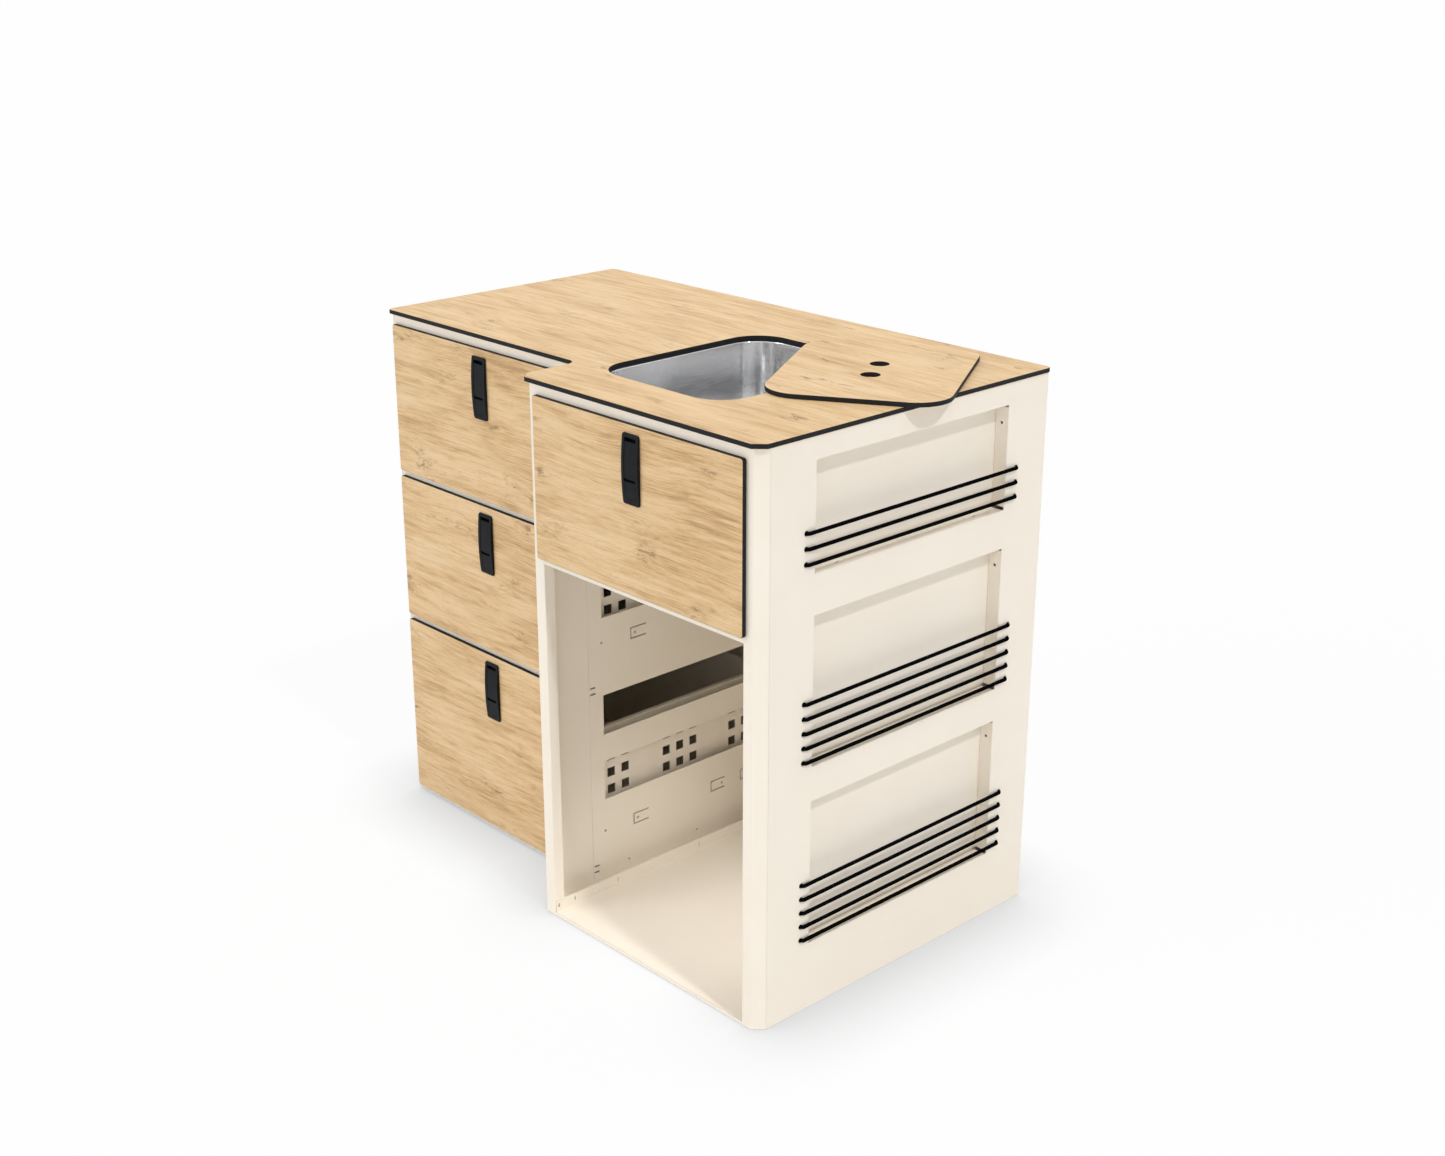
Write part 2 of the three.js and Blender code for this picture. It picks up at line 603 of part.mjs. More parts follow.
function backPanel() {
  const left = LEFT_INSIDE + SEAT_GAP;
  const right = BODY_RIGHT - SHEET - SEAT_GAP;
  const flangeRight = LINER_LEFT - SEAT_GAP;
  return join(
    block(left, right, BACK_INSIDE, BODY_BACK, FLOOR, BODY_TOP),
    block(left, flangeRight, BACK_INSIDE - TOP_FLANGE, BODY_BACK, BODY_TOP - SHEET, BODY_TOP),
  );
}

// The right side panel has three windows with folded flanges and a row of cord holes on each side
function pocketHeights(pocket) {
  const top = -pocket.topShare * POD_HEIGHT;
  return { top, foot: top - pocket.heightShare * POD_HEIGHT };
}

function cordHeights(pocket) {
  const { foot } = pocketHeights(pocket);
  return Array.from({ length: pocket.cords }, (unused, line) => foot + pocket.cordRise + line * CORD_PITCH);
}

const CORD_FRONT = POCKET_FRONT - CORD_FRONT_MARGIN;
const CORD_BACK = POCKET_BACK + CORD_BACK_MARGIN;

function rightSidePanel() {
  const outline = rectangle(CHAMFER_END + SEAT_GAP, BODY_BACK, FLOOR, BODY_TOP);
  const windows = POCKETS.map((pocket) => {
    const { top, foot } = pocketHeights(pocket);
    return rectangle(POCKET_FRONT, POCKET_BACK, foot, top);
  });
  const cordHoles = POCKETS.flatMap((pocket) => cordHeights(pocket).flatMap((height) => [
    circle(CORD_FRONT, height, CORD_HOLE_RADIUS, SMALL_ROUND_SIDES),
    circle(CORD_BACK, height, CORD_HOLE_RADIUS, SMALL_ROUND_SIDES),
  ]));
  const panel = slab('x', BODY_RIGHT - SHEET, BODY_RIGHT, outline, [...windows, ...cordHoles]);
  return join(panel, ...POCKETS.flatMap(pocketFlanges));
}

function pocketFlanges(pocket) {
  const { top, foot } = pocketHeights(pocket);
  const inner = BODY_RIGHT - POCKET_DEPTH;
  const relief = POCKET_CORNER_RELIEF;
  const middle = inner + (POCKET_DEPTH - SHEET) / 2;
  const holes = [circle(middle, top - FLANGE_HOLE_DROP, FLANGE_HOLE_RADIUS, SMALL_ROUND_SIDES)];
  const endOutline = rectangle(inner, BODY_RIGHT, foot + relief, top - relief);
  const slots = [POCKET_FRONT + FLANGE_SLOT_INSET, POCKET_BACK - FLANGE_SLOT_INSET].map((place) => rectangle(
    middle - FLANGE_SLOT_WIDTH / 2,
    middle + FLANGE_SLOT_WIDTH / 2,
    place - FLANGE_SLOT_LENGTH / 2,
    place + FLANGE_SLOT_LENGTH / 2,
  ));
  const levelOutline = rectangle(inner, BODY_RIGHT, POCKET_FRONT + relief, POCKET_BACK - relief);
  return [
    slab('y', POCKET_FRONT - SHEET, POCKET_FRONT, endOutline, holes),
    slab('y', POCKET_BACK, POCKET_BACK + SHEET, endOutline, holes),
    slab('z', top, top + SHEET, levelOutline),
    slab('z', foot - SHEET, foot, levelOutline, slots),
  ];
}

// The liner backs the pockets and is the cavity's right wall
function rightLiner() {
  const front = RIGHT_FRAME_BACK + FRAME_RETURN + SEAT_GAP;
  const back = BACK_INSIDE - SEAT_GAP;
  return join(
    block(LINER_LEFT, LINER_RIGHT, front, back, STANDING_FOOT, BODY_TOP),
    block(LINER_LEFT, BODY_RIGHT - SHEET - SEAT_GAP, front, back, BODY_TOP - SHEET, BODY_TOP),
  );
}

// The divider carries the left drawers' right runners and the sink drawer's packer. Each lanced slot
// is a C-shaped cut round a tongue with a pin hole in it.
function lancedSlot(front, height) {
  const half = LANCED_SLOT_HEIGHT / 2;
  const back = front + LANCED_SLOT_LENGTH;
  const inside = front + LANCED_CUT;
  return [
    [front, height - half],
    [back, height - half],
    [back, height - half + LANCED_CUT],
    [inside, height - half + LANCED_CUT],
    [inside, height + half - LANCED_CUT],
    [back, height + half - LANCED_CUT],
    [back, height + half],
    [front, height + half],
  ].map(([y, z]) => new THREE.Vector2(y, z));
}

function dividerPanel() {
  const front = NOSE_SIDE_BACK + SEAT_GAP;
  const back = BACK_INSIDE - SEAT_GAP;
  const depth = back - front;
  const outline = rectangle(front, back, STANDING_FOOT, BODY_TOP - SHEET - SEAT_GAP);
  const windows = WINDOW_TOP_SHARES.map((share) => {
    const top = -share * POD_HEIGHT;
    return rectangle(front + WINDOW_MARGIN, back - WINDOW_MARGIN, top - WINDOW_HEIGHT, top);
  });
  const carried = LEFT_DRAWERS.slice(1).map((drawer) => drawer.runnerHeight);
  const slots = carried.flatMap((height) => [
    ...LANCED_SLOT_SHARES.map((share) => lancedSlot(front + share * depth, height)),
    ...LANCED_SLOT_SHARES.map((share, index) => circle(
      front + share * depth + LANCED_PIN_SHARES[index] * LANCED_SLOT_LENGTH,
      height,
      PIN_HOLE_RADIUS,
      SMALL_ROUND_SIDES,
    )),
    circle(front + PIN_HOLE_SHARE * depth, height, PIN_HOLE_RADIUS, SMALL_ROUND_SIDES),
  ]);
  const footHoles = FOOT_HOLE_SHARES.map((share) => circle(
    front + share * depth,
    STANDING_FOOT + FOOT_HOLE_RISE,
    FOOT_HOLE_RADIUS,
    SMALL_ROUND_SIDES,
  ));
  const seamSlots = SEAM_SLOT_SHARES.map((share) => {
    const height = -share * POD_HEIGHT;
    const start = front + SEAM_SLOT_INSET;
    return rectangle(start, start + SEAM_SLOT_LENGTH, height - LANCED_CUT / 2, height + LANCED_CUT / 2);
  });
  return slab('x', NOSE_LEFT, DIVIDER_RIGHT, outline, [...windows, ...slots, ...footHoles, ...seamSlots]);
}

// The cavity floor has upstands along both sides and the back. The left one carries on from the
// front frame's return and leaves a channel open beside the divider.
function cavityFloor() {
  const front = RIGHT_FRAME_BACK + SEAT_GAP;
  const back = BACK_INSIDE - SEAT_GAP;
  const left = CAVITY_FLOOR_LEFT;
  const right = CAVITY_FLOOR_RIGHT;
  const upstandFront = front + SEAT_GAP;
  const depth = back - upstandFront;
  const slotFoot = CAVITY_FLOOR_TOP + UPSTAND_SLOT_RISE;
  const slots = UPSTAND_SLOT_SHARES.map((share) => rectangle(
    upstandFront + share * depth,
    upstandFront + share * depth + UPSTAND_SLOT_WIDTH,
    slotFoot,
    slotFoot + UPSTAND_SLOT_HEIGHT,
  ));
  const leftUpstand = rectangle(upstandFront, back - SHEET / 2, STANDING_FOOT, UPSTAND_TOP);
  return join(
    block(left, right, front, back, STANDING_FOOT, CAVITY_FLOOR_TOP),
    slab('x', left, left + SHEET, leftUpstand, slots),
    block(right - SHEET, right, RETURN_BACK + SEAT_GAP, back, STANDING_FOOT, UPSTAND_TOP),
    block(left, right, back - SHEET, back, STANDING_FOOT, UPSTAND_TOP),
  );
}

// The base sheet closes both blocks from below and is what the pod rests on
function baseSheet() {
  const front = RIGHT_FRAME_BACK + SEAT_GAP;
  const back = BACK_INSIDE - SEAT_GAP;
  const right = BODY_RIGHT - SHEET - SEAT_GAP;
  const left = LEFT_INSIDE + SEAT_GAP;
  const noseLeft = DIVIDER_RIGHT + SEAT_GAP;
  const cornerRun = CHAMFER_END - RIGHT_FRAME_FRONT;
  const outline = [
    [noseLeft + cornerRun, front],
    [right - cornerRun, front],
    [right, front + cornerRun],
    [right, back],
    [left, back],
    [left, LEFT_FRAME_BACK + SEAT_GAP],
    [NOSE_LEFT, LEFT_FRAME_BACK + SEAT_GAP],
    [NOSE_LEFT, NOSE_SIDE_BACK + SEAT_GAP],
    [noseLeft, NOSE_SIDE_BACK + SEAT_GAP],
    [noseLeft, front + cornerRun],
  ].map(([x, y]) => new THREE.Vector2(x, y));
  const channelMiddle = (DIVIDER_RIGHT + CAVITY_FLOOR_LEFT) / 2;
  const holeFront = front + HOSE_HOLE_SHARE * (back - front) - HOSE_HOLE_LENGTH / 2;
  const hoseHole = rectangle(
    channelMiddle - HOSE_HOLE_WIDTH / 2,
    channelMiddle + HOSE_HOLE_WIDTH / 2,
    holeFront,
    holeFront + HOSE_HOLE_LENGTH,
  );
  return slab('z', FLOOR, BASE_TOP, outline, [hoseHole]);
}

piece('right_front_frame', rightFrontFrame(), cream);
piece('left_front_frame', leftFrontFrame(), cream);
piece('left_side_panel', leftSidePanel(), cream);
piece('back_panel', backPanel(), cream);
piece('right_side_panel', rightSidePanel(), cream);
piece('right_liner', rightLiner(), cream);
piece('divider_panel', dividerPanel(), cream);
piece('cavity_floor', cavityFloor(), cream);
piece('base_sheet', baseSheet(), cream);

// Elastic cords. Each pocket has one cord, laced through its holes from side to side and knotted
// behind the first and the last hole.
class StationCurve extends THREE.Curve {
  constructor(stations) {
    super();
    this.stations = stations;
  }

  getPoint(share) {
    return this.stations[Math.round(share * (this.stations.length - 1))].clone();
  }

  getPointAt(share) {
    return this.getPoint(share);
  }

  getTangentAt(share) {
    const index = Math.round(share * (this.stations.length - 1));
    const before = this.stations[Math.max(index - 1, 0)];
    const after = this.stations[Math.min(index + 1, this.stations.length - 1)];
    const into = this.stations[index].clone().sub(before).normalize();
    const out = after.clone().sub(this.stations[index]).normalize();
    return into.add(out).normalize();
  }
}

const CORD_X = BODY_RIGHT + CORD_RADIUS + SEAT_GAP;
const CORD_BEHIND_X = CORD_X - 2 * CORD_BEND_RADIUS - SHEET;
const KNOT_X = BODY_RIGHT - SHEET - SEAT_GAP - CORD_KNOT_RADIUS;

function laceStations(pocket) {
  const heights = cordHeights(pocket).reverse();
  const stations = [];
  // A quarter bend about centre, from the direction start to the direction end
  const bend = (centre, start, end) => {
    for (let facet = 0; facet <= CORD_BEND_FACETS; facet += 1) {
      const angle = (Math.PI / 2) * (facet / CORD_BEND_FACETS);
      stations.push(centre.clone()
        .addScaledVector(start, CORD_BEND_RADIUS * Math.cos(angle))
        .addScaledVector(end, CORD_BEND_RADIUS * Math.sin(angle)));
    }
  };
  const right = new THREE.Vector3(1, 0, 0);
  const left = right.clone().negate();
  const up = new THREE.Vector3(0, 0, 1);
  const down = up.clone().negate();
  heights.forEach((height, line) => {
    const forward = line % 2 === 0;
    const from = forward ? CORD_FRONT : CORD_BACK;
    const to = forward ? CORD_BACK : CORD_FRONT;
    const along = new THREE.Vector3(0, Math.sign(to - from), 0);
    const against = along.clone().negate();
    const bendX = CORD_X - CORD_BEND_RADIUS;
    const behindX = CORD_BEHIND_X + CORD_BEND_RADIUS;
    if (line > 0) {
      bend(new THREE.Vector3(behindX, from, height + CORD_BEND_RADIUS), left, down);
    } else {
      stations.push(new THREE.Vector3(KNOT_X, from, height));
    }
    bend(new THREE.Vector3(bendX, from, height).addScaledVector(along, CORD_BEND_RADIUS), against, right);
    bend(new THREE.Vector3(bendX, to, height).addScaledVector(against, CORD_BEND_RADIUS), right, along);
    if (line < heights.length - 1) {
      bend(new THREE.Vector3(behindX, to, height - CORD_BEND_RADIUS), up, left);
    } else {
      stations.push(new THREE.Vector3(KNOT_X, to, height));
    }
  });
  return stations;
}

function lacedCord(pocket) {
  const stations = laceStations(pocket);
  const section = new THREE.Shape(circle(0, 0, CORD_RADIUS, CORD_SIDES));
  const geometry = new THREE.ExtrudeGeometry(section, {
    steps: stations.length - 1,
    extrudePath: new StationCurve(stations),
  });
  const knots = [stations[0], stations[stations.length - 1]].map((place) => {
    const knot = new THREE.SphereGeometry(CORD_KNOT_RADIUS, CORD_SIDES, ARCH_FACETS);
    knot.translate(place.x, place.y, place.z);
    return solid(knot);
  });
  return join(solid(geometry), ...knots);
}

for (const pocket of POCKETS) {
  piece(`${pocket.name}_pocket_cord`, lacedCord(pocket), elastic);
}

// Runners. Each fixed member is a lipped channel on the wall and each moving member a smaller
// channel on the drawer box, which slides between the lips. Their sections are drawn with the depth
// from the wall and the height from the runner's middle.
function fixedSection() {
  const wall = RUNNER_SHEET;
  const half = RUNNER_HEIGHT / 2;
  const mouth = half - wall - RUNNER_LIP;
  const depth = RUNNER_FIXED_DEPTH;
  return [
    [SEAT_GAP, half],
    [SEAT_GAP, -half],
    [depth, -half],
    [depth, -mouth],
    [depth - wall, -mouth],
    [depth - wall, -half + wall],
    [SEAT_GAP + wall, -half + wall],
    [SEAT_GAP + wall, half - wall],
    [depth - wall, half - wall],
    [depth - wall, mouth],
    [depth, mouth],
    [depth, half],
  ];
}

function movingSection() {
  const wall = RUNNER_SHEET;
  const half = RUNNER_HEIGHT / 2 - wall - RUNNER_LIP - SEAT_GAP;
  const back = RUNNER_GAP - SEAT_GAP;
  const front = RUNNER_GAP - SEAT_GAP - RUNNER_MOVING_DEPTH;
  return [
    [front, half],
    [front, half - wall],
    [back - wall, half - wall],
    [back - wall, -half + wall],
    [front, -half + wall],
    [front, -half],
    [back, -half],
    [back, half],
  ];
}

// A runner member along y, on the wall at wallX, with its depth running towards the box
function runnerMember(section, wallX, towards, height, from, to) {
  const outline = section.map(([depth, rise]) => new THREE.Vector2(wallX + towards * depth, height + rise));
  return slab('y', from, to, outline);
}

// Drawers
function drawerFront(drawer) {
  const { frontLeft, frontRight, frontTop, frontFoot, face } = drawer;
  const outline = rectangle(frontLeft, frontRight, frontFoot, frontTop, FRONT_CORNER_RADIUS);
  const { x, top } = latchPlace(drawer);
  const halfWidth = LATCH_BODY_WIDTH / 2 + LATCH_CLEARANCE;
  const opening = rectangle(
    x - halfWidth,
    x + halfWidth,
    top - LATCH_HEIGHT + LATCH_BODY_DROP - LATCH_CLEARANCE,
    top - LATCH_BODY_DROP + LATCH_CLEARANCE,
  );
  return slab('y', face, face + FRONT_THICKNESS, outline, [opening]);
}

function latchPlace(drawer) {
  return {
    x: (drawer.frontLeft + drawer.frontRight) / 2,
    top: drawer.frontTop - LATCH_DROP,
  };
}

// The box's side holes come in square groups. Columns and rows that don't fit are left out.
function sideHoles(drawer, boxFront, boxBack) {
  const groupPitch = GROUP_PITCHES * HOLE_PITCH;
  const middle = (boxFront + boxBack) / 2;
  const reach = (boxBack - boxFront) / 2 - BOX_EDGE_MARGIN - SQUARE_HOLE / 2;
  const groupReach = Math.ceil(reach / groupPitch);
  const holes = [];
  for (let group = -groupReach; group <= groupReach; group += 1) {
    for (let column = 0; column < HOLES_IN_GROUP; column += 1) {
      const offset = group * groupPitch + (column - (HOLES_IN_GROUP - 1) / 2) * HOLE_PITCH;
      for (let row = 0; row < HOLES_IN_GROUP; row += 1) {
        const height = drawer.boxTop - drawer.firstRow - row * HOLE_PITCH;
        const fits = height - SQUARE_HOLE / 2 > drawer.boxFoot + BOX_EDGE_MARGIN;
        if (fits && Math.abs(offset) <= reach) {
          holes.push([middle + offset, height]);
        }
      }
    }
  }
  const half = SQUARE_HOLE / 2;
  return holes.map(([y, z]) => rectangle(y - half, y + half, z - half, z + half));
}

function drawerBox(drawer) {
  const { boxLeft, boxRight, boxTop, boxFoot, boxLength } = drawer;
  const front = drawer.face + FRONT_THICKNESS + SEAT_GAP;
  const back = front + boxLength;
  const side = rectangle(front, back, boxFoot, boxTop);
  const holes = sideHoles(drawer, front, back);
  const box = join(
    slab('x', boxLeft, boxLeft + SHEET, side, holes),
    slab('x', boxRight - SHEET, boxRight, side, holes),
    block(boxLeft, boxRight, front, back, boxFoot, boxFoot + SHEET),
    block(boxLeft, boxRight, front, front + SHEET, boxFoot, boxTop),
    block(boxLeft, boxRight, back - SHEET, back, boxFoot, boxTop),
    block(boxLeft, boxLeft + BOX_HEM, front, back, boxTop - SHEET, boxTop),
    block(boxRight - BOX_HEM, boxRight, front, back, boxTop - SHEET, boxTop),
    block(boxLeft, boxRight, back - BOX_HEM, back, boxTop - SHEET, boxTop),
  );
  const { x, top } = latchPlace(drawer);
  const halfWidth = LATCH_BODY_WIDTH / 2 + FRONT_WALL_LATCH_CLEARANCE;
  const notchFoot = top - LATCH_HEIGHT + LATCH_BODY_DROP - FRONT_WALL_LATCH_CLEARANCE;
  if (notchFoot >= boxTop) {
    return box;
  }
  const through = [front - CUT_OVERRUN, front + SHEET + CUT_OVERRUN];
  return cut(box, block(x - halfWidth, x + halfWidth, ...through, notchFoot, boxTop + CUT_OVERRUN));
}

// Latches are drawn round a middle line on the drawer's face: x across, y into the drawer and z up
// from the latch's middle. The housing's face is an arch, higher in the middle than at the ends.
const ARCH_RISE = LATCH_MIDDLE_PROUD - LATCH_END_PROUD;
const ARCH_RADIUS = (LATCH_HEIGHT ** 2 / 4 + ARCH_RISE ** 2) / (2 * ARCH_RISE);
const SLOT_TOP = LATCH_HEIGHT / 2 - FINGER_SLOT_DROP;
const LEVER_TOP = SLOT_TOP - FINGER_SLOT_HEIGHT;
const LEVER_FOOT = LEVER_TOP - LEVER_LENGTH;
const LEVER_PIN_Z = LEVER_FOOT + LEVER_PIN_RISE;
const LEVER_PIN_Y = LEVER_BACK - LEVER_PIN_RADIUS;
const BUTTON_TOP = LEVER_FOOT - LATCH_BAR;
const BUTTON_FOOT = BUTTON_TOP - BUTTON_HEIGHT;
const BOLT_TOP = LATCH_BODY_HEIGHT / 2 + BOLT_PROUD;

// What lies between a flat back and the arch, which is sunk by a recess
function archedSlab(halfWidth, foot, top, back, recess) {
  const outline = [new THREE.Vector2(back, foot), new THREE.Vector2(back, top)];
  for (let facet = 0; facet <= ARCH_FACETS; facet += 1) {
    const z = top + ((foot - top) * facet) / ARCH_FACETS;
    const drop = ARCH_RADIUS - Math.sqrt(ARCH_RADIUS ** 2 - z ** 2);
    outline.push(new THREE.Vector2(-(LATCH_MIDDLE_PROUD - drop - recess), z));
  }
  return slab('x', -halfWidth, halfWidth, outline);
}

function pinAlongX(halfLength, y, z, radius) {
  return slab('x', -halfLength, halfLength, circle(y, z, radius, SMALL_ROUND_SIDES));
}

function buttonOutline(spread) {
  const half = BUTTON_WIDTH / 2 + spread;
  return rounded([
    [-half, BUTTON_FOOT - spread, BUTTON_FOOT_RADIUS],
    [half, BUTTON_FOOT - spread, BUTTON_FOOT_RADIUS],
    [half, BUTTON_TOP + spread, 0],
    [-half, BUTTON_TOP + spread, 0],
  ], SMALL_CORNER_FACETS);
}

function latchHousing() {
  const half = LATCH_HEIGHT / 2;
  const front = -LATCH_MIDDLE_PROUD - CUT_OVERRUN;
  const plate = archedSlab(LATCH_WIDTH / 2, -half, half, -LATCH_CLEARANCE, 0);
  const face = rectangle(-LATCH_WIDTH / 2, LATCH_WIDTH / 2, -half, half, LATCH_CORNER_RADIUS);
  const bodyHalfWidth = LATCH_BODY_WIDTH / 2;
  const bodyHalfHeight = LATCH_BODY_HEIGHT / 2;
  const body = block(
    -bodyHalfWidth,
    bodyHalfWidth,
    -LATCH_END_PROUD,
    LATCH_BODY_DEPTH,
    -bodyHalfHeight,
    bodyHalfHeight,
  );
  const leverHalf = LEVER_WIDTH / 2 + LATCH_CLEARANCE;
  const slotHalf = FINGER_SLOT_WIDTH / 2;
  const boltHalf = BOLT_WIDTH / 2 + LATCH_CLEARANCE;
  return cut(
    join(plate.intersect(slab('y', front, LATCH_BODY_DEPTH, face)), body),
    block(-leverHalf, leverHalf, front, LATCH_POCKET_DEPTH, LEVER_FOOT - LATCH_CLEARANCE, LEVER_TOP),
    block(-slotHalf, slotHalf, front, LATCH_POCKET_DEPTH, LEVER_TOP - LATCH_CLEARANCE, SLOT_TOP),
    slab('y', front, LATCH_POCKET_DEPTH, buttonOutline(LATCH_CLEARANCE)),
    pinAlongX(
      LEVER_WIDTH / 2 + LEVER_PIN_REACH + LATCH_CLEARANCE,
      LEVER_PIN_Y,
      LEVER_PIN_Z,
      LEVER_PIN_RADIUS + LATCH_CLEARANCE,
    ),
    block(
      -boltHalf,
      boltHalf,
      BOLT_SETBACK - LATCH_CLEARANCE,
      BOLT_SETBACK + BOLT_THICKNESS + LATCH_CLEARANCE,
      BOLT_TOP - BOLT_LENGTH - BOLT_TRAVEL - LATCH_CLEARANCE,
      bodyHalfHeight + CUT_OVERRUN,
    ),
  );
}

function latchLever() {
  const halfWidth = LEVER_WIDTH / 2;
  const panel = archedSlab(halfWidth, LEVER_PIN_Z, LEVER_TOP - LATCH_CLEARANCE, LEVER_BACK, LEVER_RECESS);
  const heel = pinAlongX(halfWidth, LEVER_PIN_Y, LEVER_PIN_Z, LEVER_PIN_RISE - LATCH_CLEARANCE);
  const pin = pinAlongX(halfWidth + LEVER_PIN_REACH, LEVER_PIN_Y, LEVER_PIN_Z, LEVER_PIN_RADIUS);
  return join(panel, heel, pin);
}

function latchButton() {
  const outline = buttonOutline(0);
  const front = -LATCH_MIDDLE_PROUD - CUT_OVERRUN;
  const arched = archedSlab(BUTTON_WIDTH / 2, BUTTON_FOOT, BUTTON_TOP, BUTTON_BACK, LATCH_CLEARANCE);
  return arched.intersect(slab('y', front, BUTTON_BACK + CUT_OVERRUN, outline));
}

// The bolt's top slopes down towards the back, as on a slam latch
function latchBolt() {
  const foot = BOLT_TOP - BOLT_LENGTH;
  const back = BOLT_SETBACK + BOLT_THICKNESS;
  const outline = [
    [BOLT_SETBACK, foot],
    [back, foot],
    [back, BOLT_TOP - BOLT_THICKNESS],
    [BOLT_SETBACK + BOLT_THICKNESS / 3, BOLT_TOP],
    [BOLT_SETBACK, BOLT_TOP],
  ].map(([y, z]) => new THREE.Vector2(y, z));
  return slab('x', -BOLT_WIDTH / 2, BOLT_WIDTH / 2, outline);
}

function latch(drawer) {
  const { x, top } = latchPlace(drawer);
  const group = new THREE.Group();
  group.position.set(x, drawer.face, top - LATCH_HEIGHT / 2);
  piece(`${drawer.name}_latch_housing`, latchHousing(), blackPlastic, group);
  piece(`${drawer.name}_latch_lever`, latchLever(), blackPlastic, group);
  piece(`${drawer.name}_latch_button`, latchButton(), blackPlastic, group);
  piece(`${drawer.name}_latch_bolt`, latchBolt(), zincSteel, group);
  return group;
}

// The packer brings the sink drawer's left runner in from the divider, over the left stile
const PACKER_FACE = SINK_BOX_LEFT - RUNNER_GAP;

function runnerPacker() {
  const half = PACKER_HEIGHT / 2;
  const middle = SINK_DRAWER.runnerHeight;
  const wall = DIVIDER_RIGHT + SEAT_GAP;
  const outline = [
    [wall, middle - half],
    [PACKER_FACE, middle - half],
    [PACKER_FACE, middle + half],
    [wall, middle + half],
    [wall, middle + half - SHEET],
    [PACKER_FACE - SHEET, middle + half - SHEET],
    [PACKER_FACE - SHEET, middle - half + SHEET],
    [wall, middle - half + SHEET],
  ].map(([x, z]) => new THREE.Vector2(x, z));
  const { to } = trackRun(SINK_DRAWER);
  return slab('y', CHAMFER_END + SHEET, to, outline);
}

function trackRun(drawer) {
  const from = drawer.face + FRONT_THICKNESS + FRAME_GAP + SHEET + RUNNER_SETBACK;
  return { from, to: from + drawer.boxLength - RUNNER_SHORTER_THAN_BOX };
}

function drawerPieces(drawer) {
  const { name, boxLeft, boxRight, runnerHeight } = drawer;
  const { from, to } = trackRun(drawer);
  const sides = [
    { side: 'left', wallX: boxLeft - RUNNER_GAP, towards: 1 },
    { side: 'right', wallX: boxRight + RUNNER_GAP, towards: -1 },
  ];
  for (const { side, wallX, towards } of sides) {
    const track = runnerMember(fixedSection(), wallX, towards, runnerHeight, from, to);
    const runner = runnerMember(movingSection(), wallX, towards, runnerHeight, from, to);
    piece(`${name}_${side}_track`, track, zincSteel);
    piece(`${name}_${side}_runner`, runner, zincSteel);
  }
  piece(`${name}_drawer_front`, drawerFront(drawer), oak);
  piece(`${name}_drawer_box`, drawerBox(drawer), cream);
  pod.add(latch(drawer));
}

piece('runner_packer', runnerPacker(), cream);
[SINK_DRAWER, ...LEFT_DRAWERS].forEach(drawerPieces);

export default pod;
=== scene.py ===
"""Looks of a campervan kitchen pod: its finishes, its fine shapes, a pale studio and a camera."""

import json
import math

import bmesh
import bpy
from mathutils import Euler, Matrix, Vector

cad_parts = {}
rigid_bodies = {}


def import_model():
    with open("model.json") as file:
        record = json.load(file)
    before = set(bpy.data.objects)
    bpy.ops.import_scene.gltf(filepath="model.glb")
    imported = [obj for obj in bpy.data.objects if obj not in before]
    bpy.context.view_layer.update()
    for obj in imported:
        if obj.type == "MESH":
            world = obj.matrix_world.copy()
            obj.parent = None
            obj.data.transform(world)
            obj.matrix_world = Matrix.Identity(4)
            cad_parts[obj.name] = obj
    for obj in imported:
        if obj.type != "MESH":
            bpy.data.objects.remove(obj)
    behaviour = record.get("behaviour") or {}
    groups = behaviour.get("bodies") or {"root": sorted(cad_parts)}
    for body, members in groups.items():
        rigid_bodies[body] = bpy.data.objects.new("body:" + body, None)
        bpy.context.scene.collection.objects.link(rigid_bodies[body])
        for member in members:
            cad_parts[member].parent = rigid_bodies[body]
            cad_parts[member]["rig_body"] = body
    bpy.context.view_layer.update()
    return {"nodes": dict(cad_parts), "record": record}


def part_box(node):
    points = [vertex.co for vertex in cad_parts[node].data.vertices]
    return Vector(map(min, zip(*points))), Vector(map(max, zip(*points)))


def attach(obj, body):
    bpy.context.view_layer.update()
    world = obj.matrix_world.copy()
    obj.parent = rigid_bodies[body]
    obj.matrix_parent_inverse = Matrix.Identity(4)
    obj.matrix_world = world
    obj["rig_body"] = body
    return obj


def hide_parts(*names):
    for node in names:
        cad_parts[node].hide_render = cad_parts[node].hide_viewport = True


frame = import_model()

# Sizes are in metres, in the frame's own axes: X to the right, Y to the back, Z up.

# Corners of a node's mesh that are this close are one corner, and so are points of a new mesh
MERGE_DISTANCE = 5e-6
SAME_POINT = 1e-6

# Faces turned by less lie in one plane. Edges turned by more are rounded, or shaded as sharp.
FLAT_ANGLE = math.radians(0.6)
EDGE_ANGLE = math.radians(20)
SHARP_ANGLE = math.radians(32)
SHEET_SHARP_ANGLE = math.radians(60)

# Two edges that meet in a corner are in one line where the square of their sine is smaller
STRAIGHT_CORNER = 1e-4

nodes = frame["nodes"]
slots = {part["node"]: part["material_slot"] for part in frame["record"]["subparts"]}
DRAWERS = ("sink", "upper", "middle", "lower")
UP = Vector((0, 0, 1))
FORWARD = Vector((0, -1, 0))


# Materials. Noise scales and rates are in features per metre, and depths in metres.

# Streaks of the oak decor: their rate along the grain and across it, their detail and roughness
OAK_CLOUDS = (4.5, 24, 5, 0.66)
OAK_FIGURE = (7, 140, 6, 0.64)
OAK_FIBRE = (22, 640, 5, 0.62)
OAK_PORES = (85, 1050, 3, 0.6)
OAK_RAGGED = (48, 210, 6, 0.72)

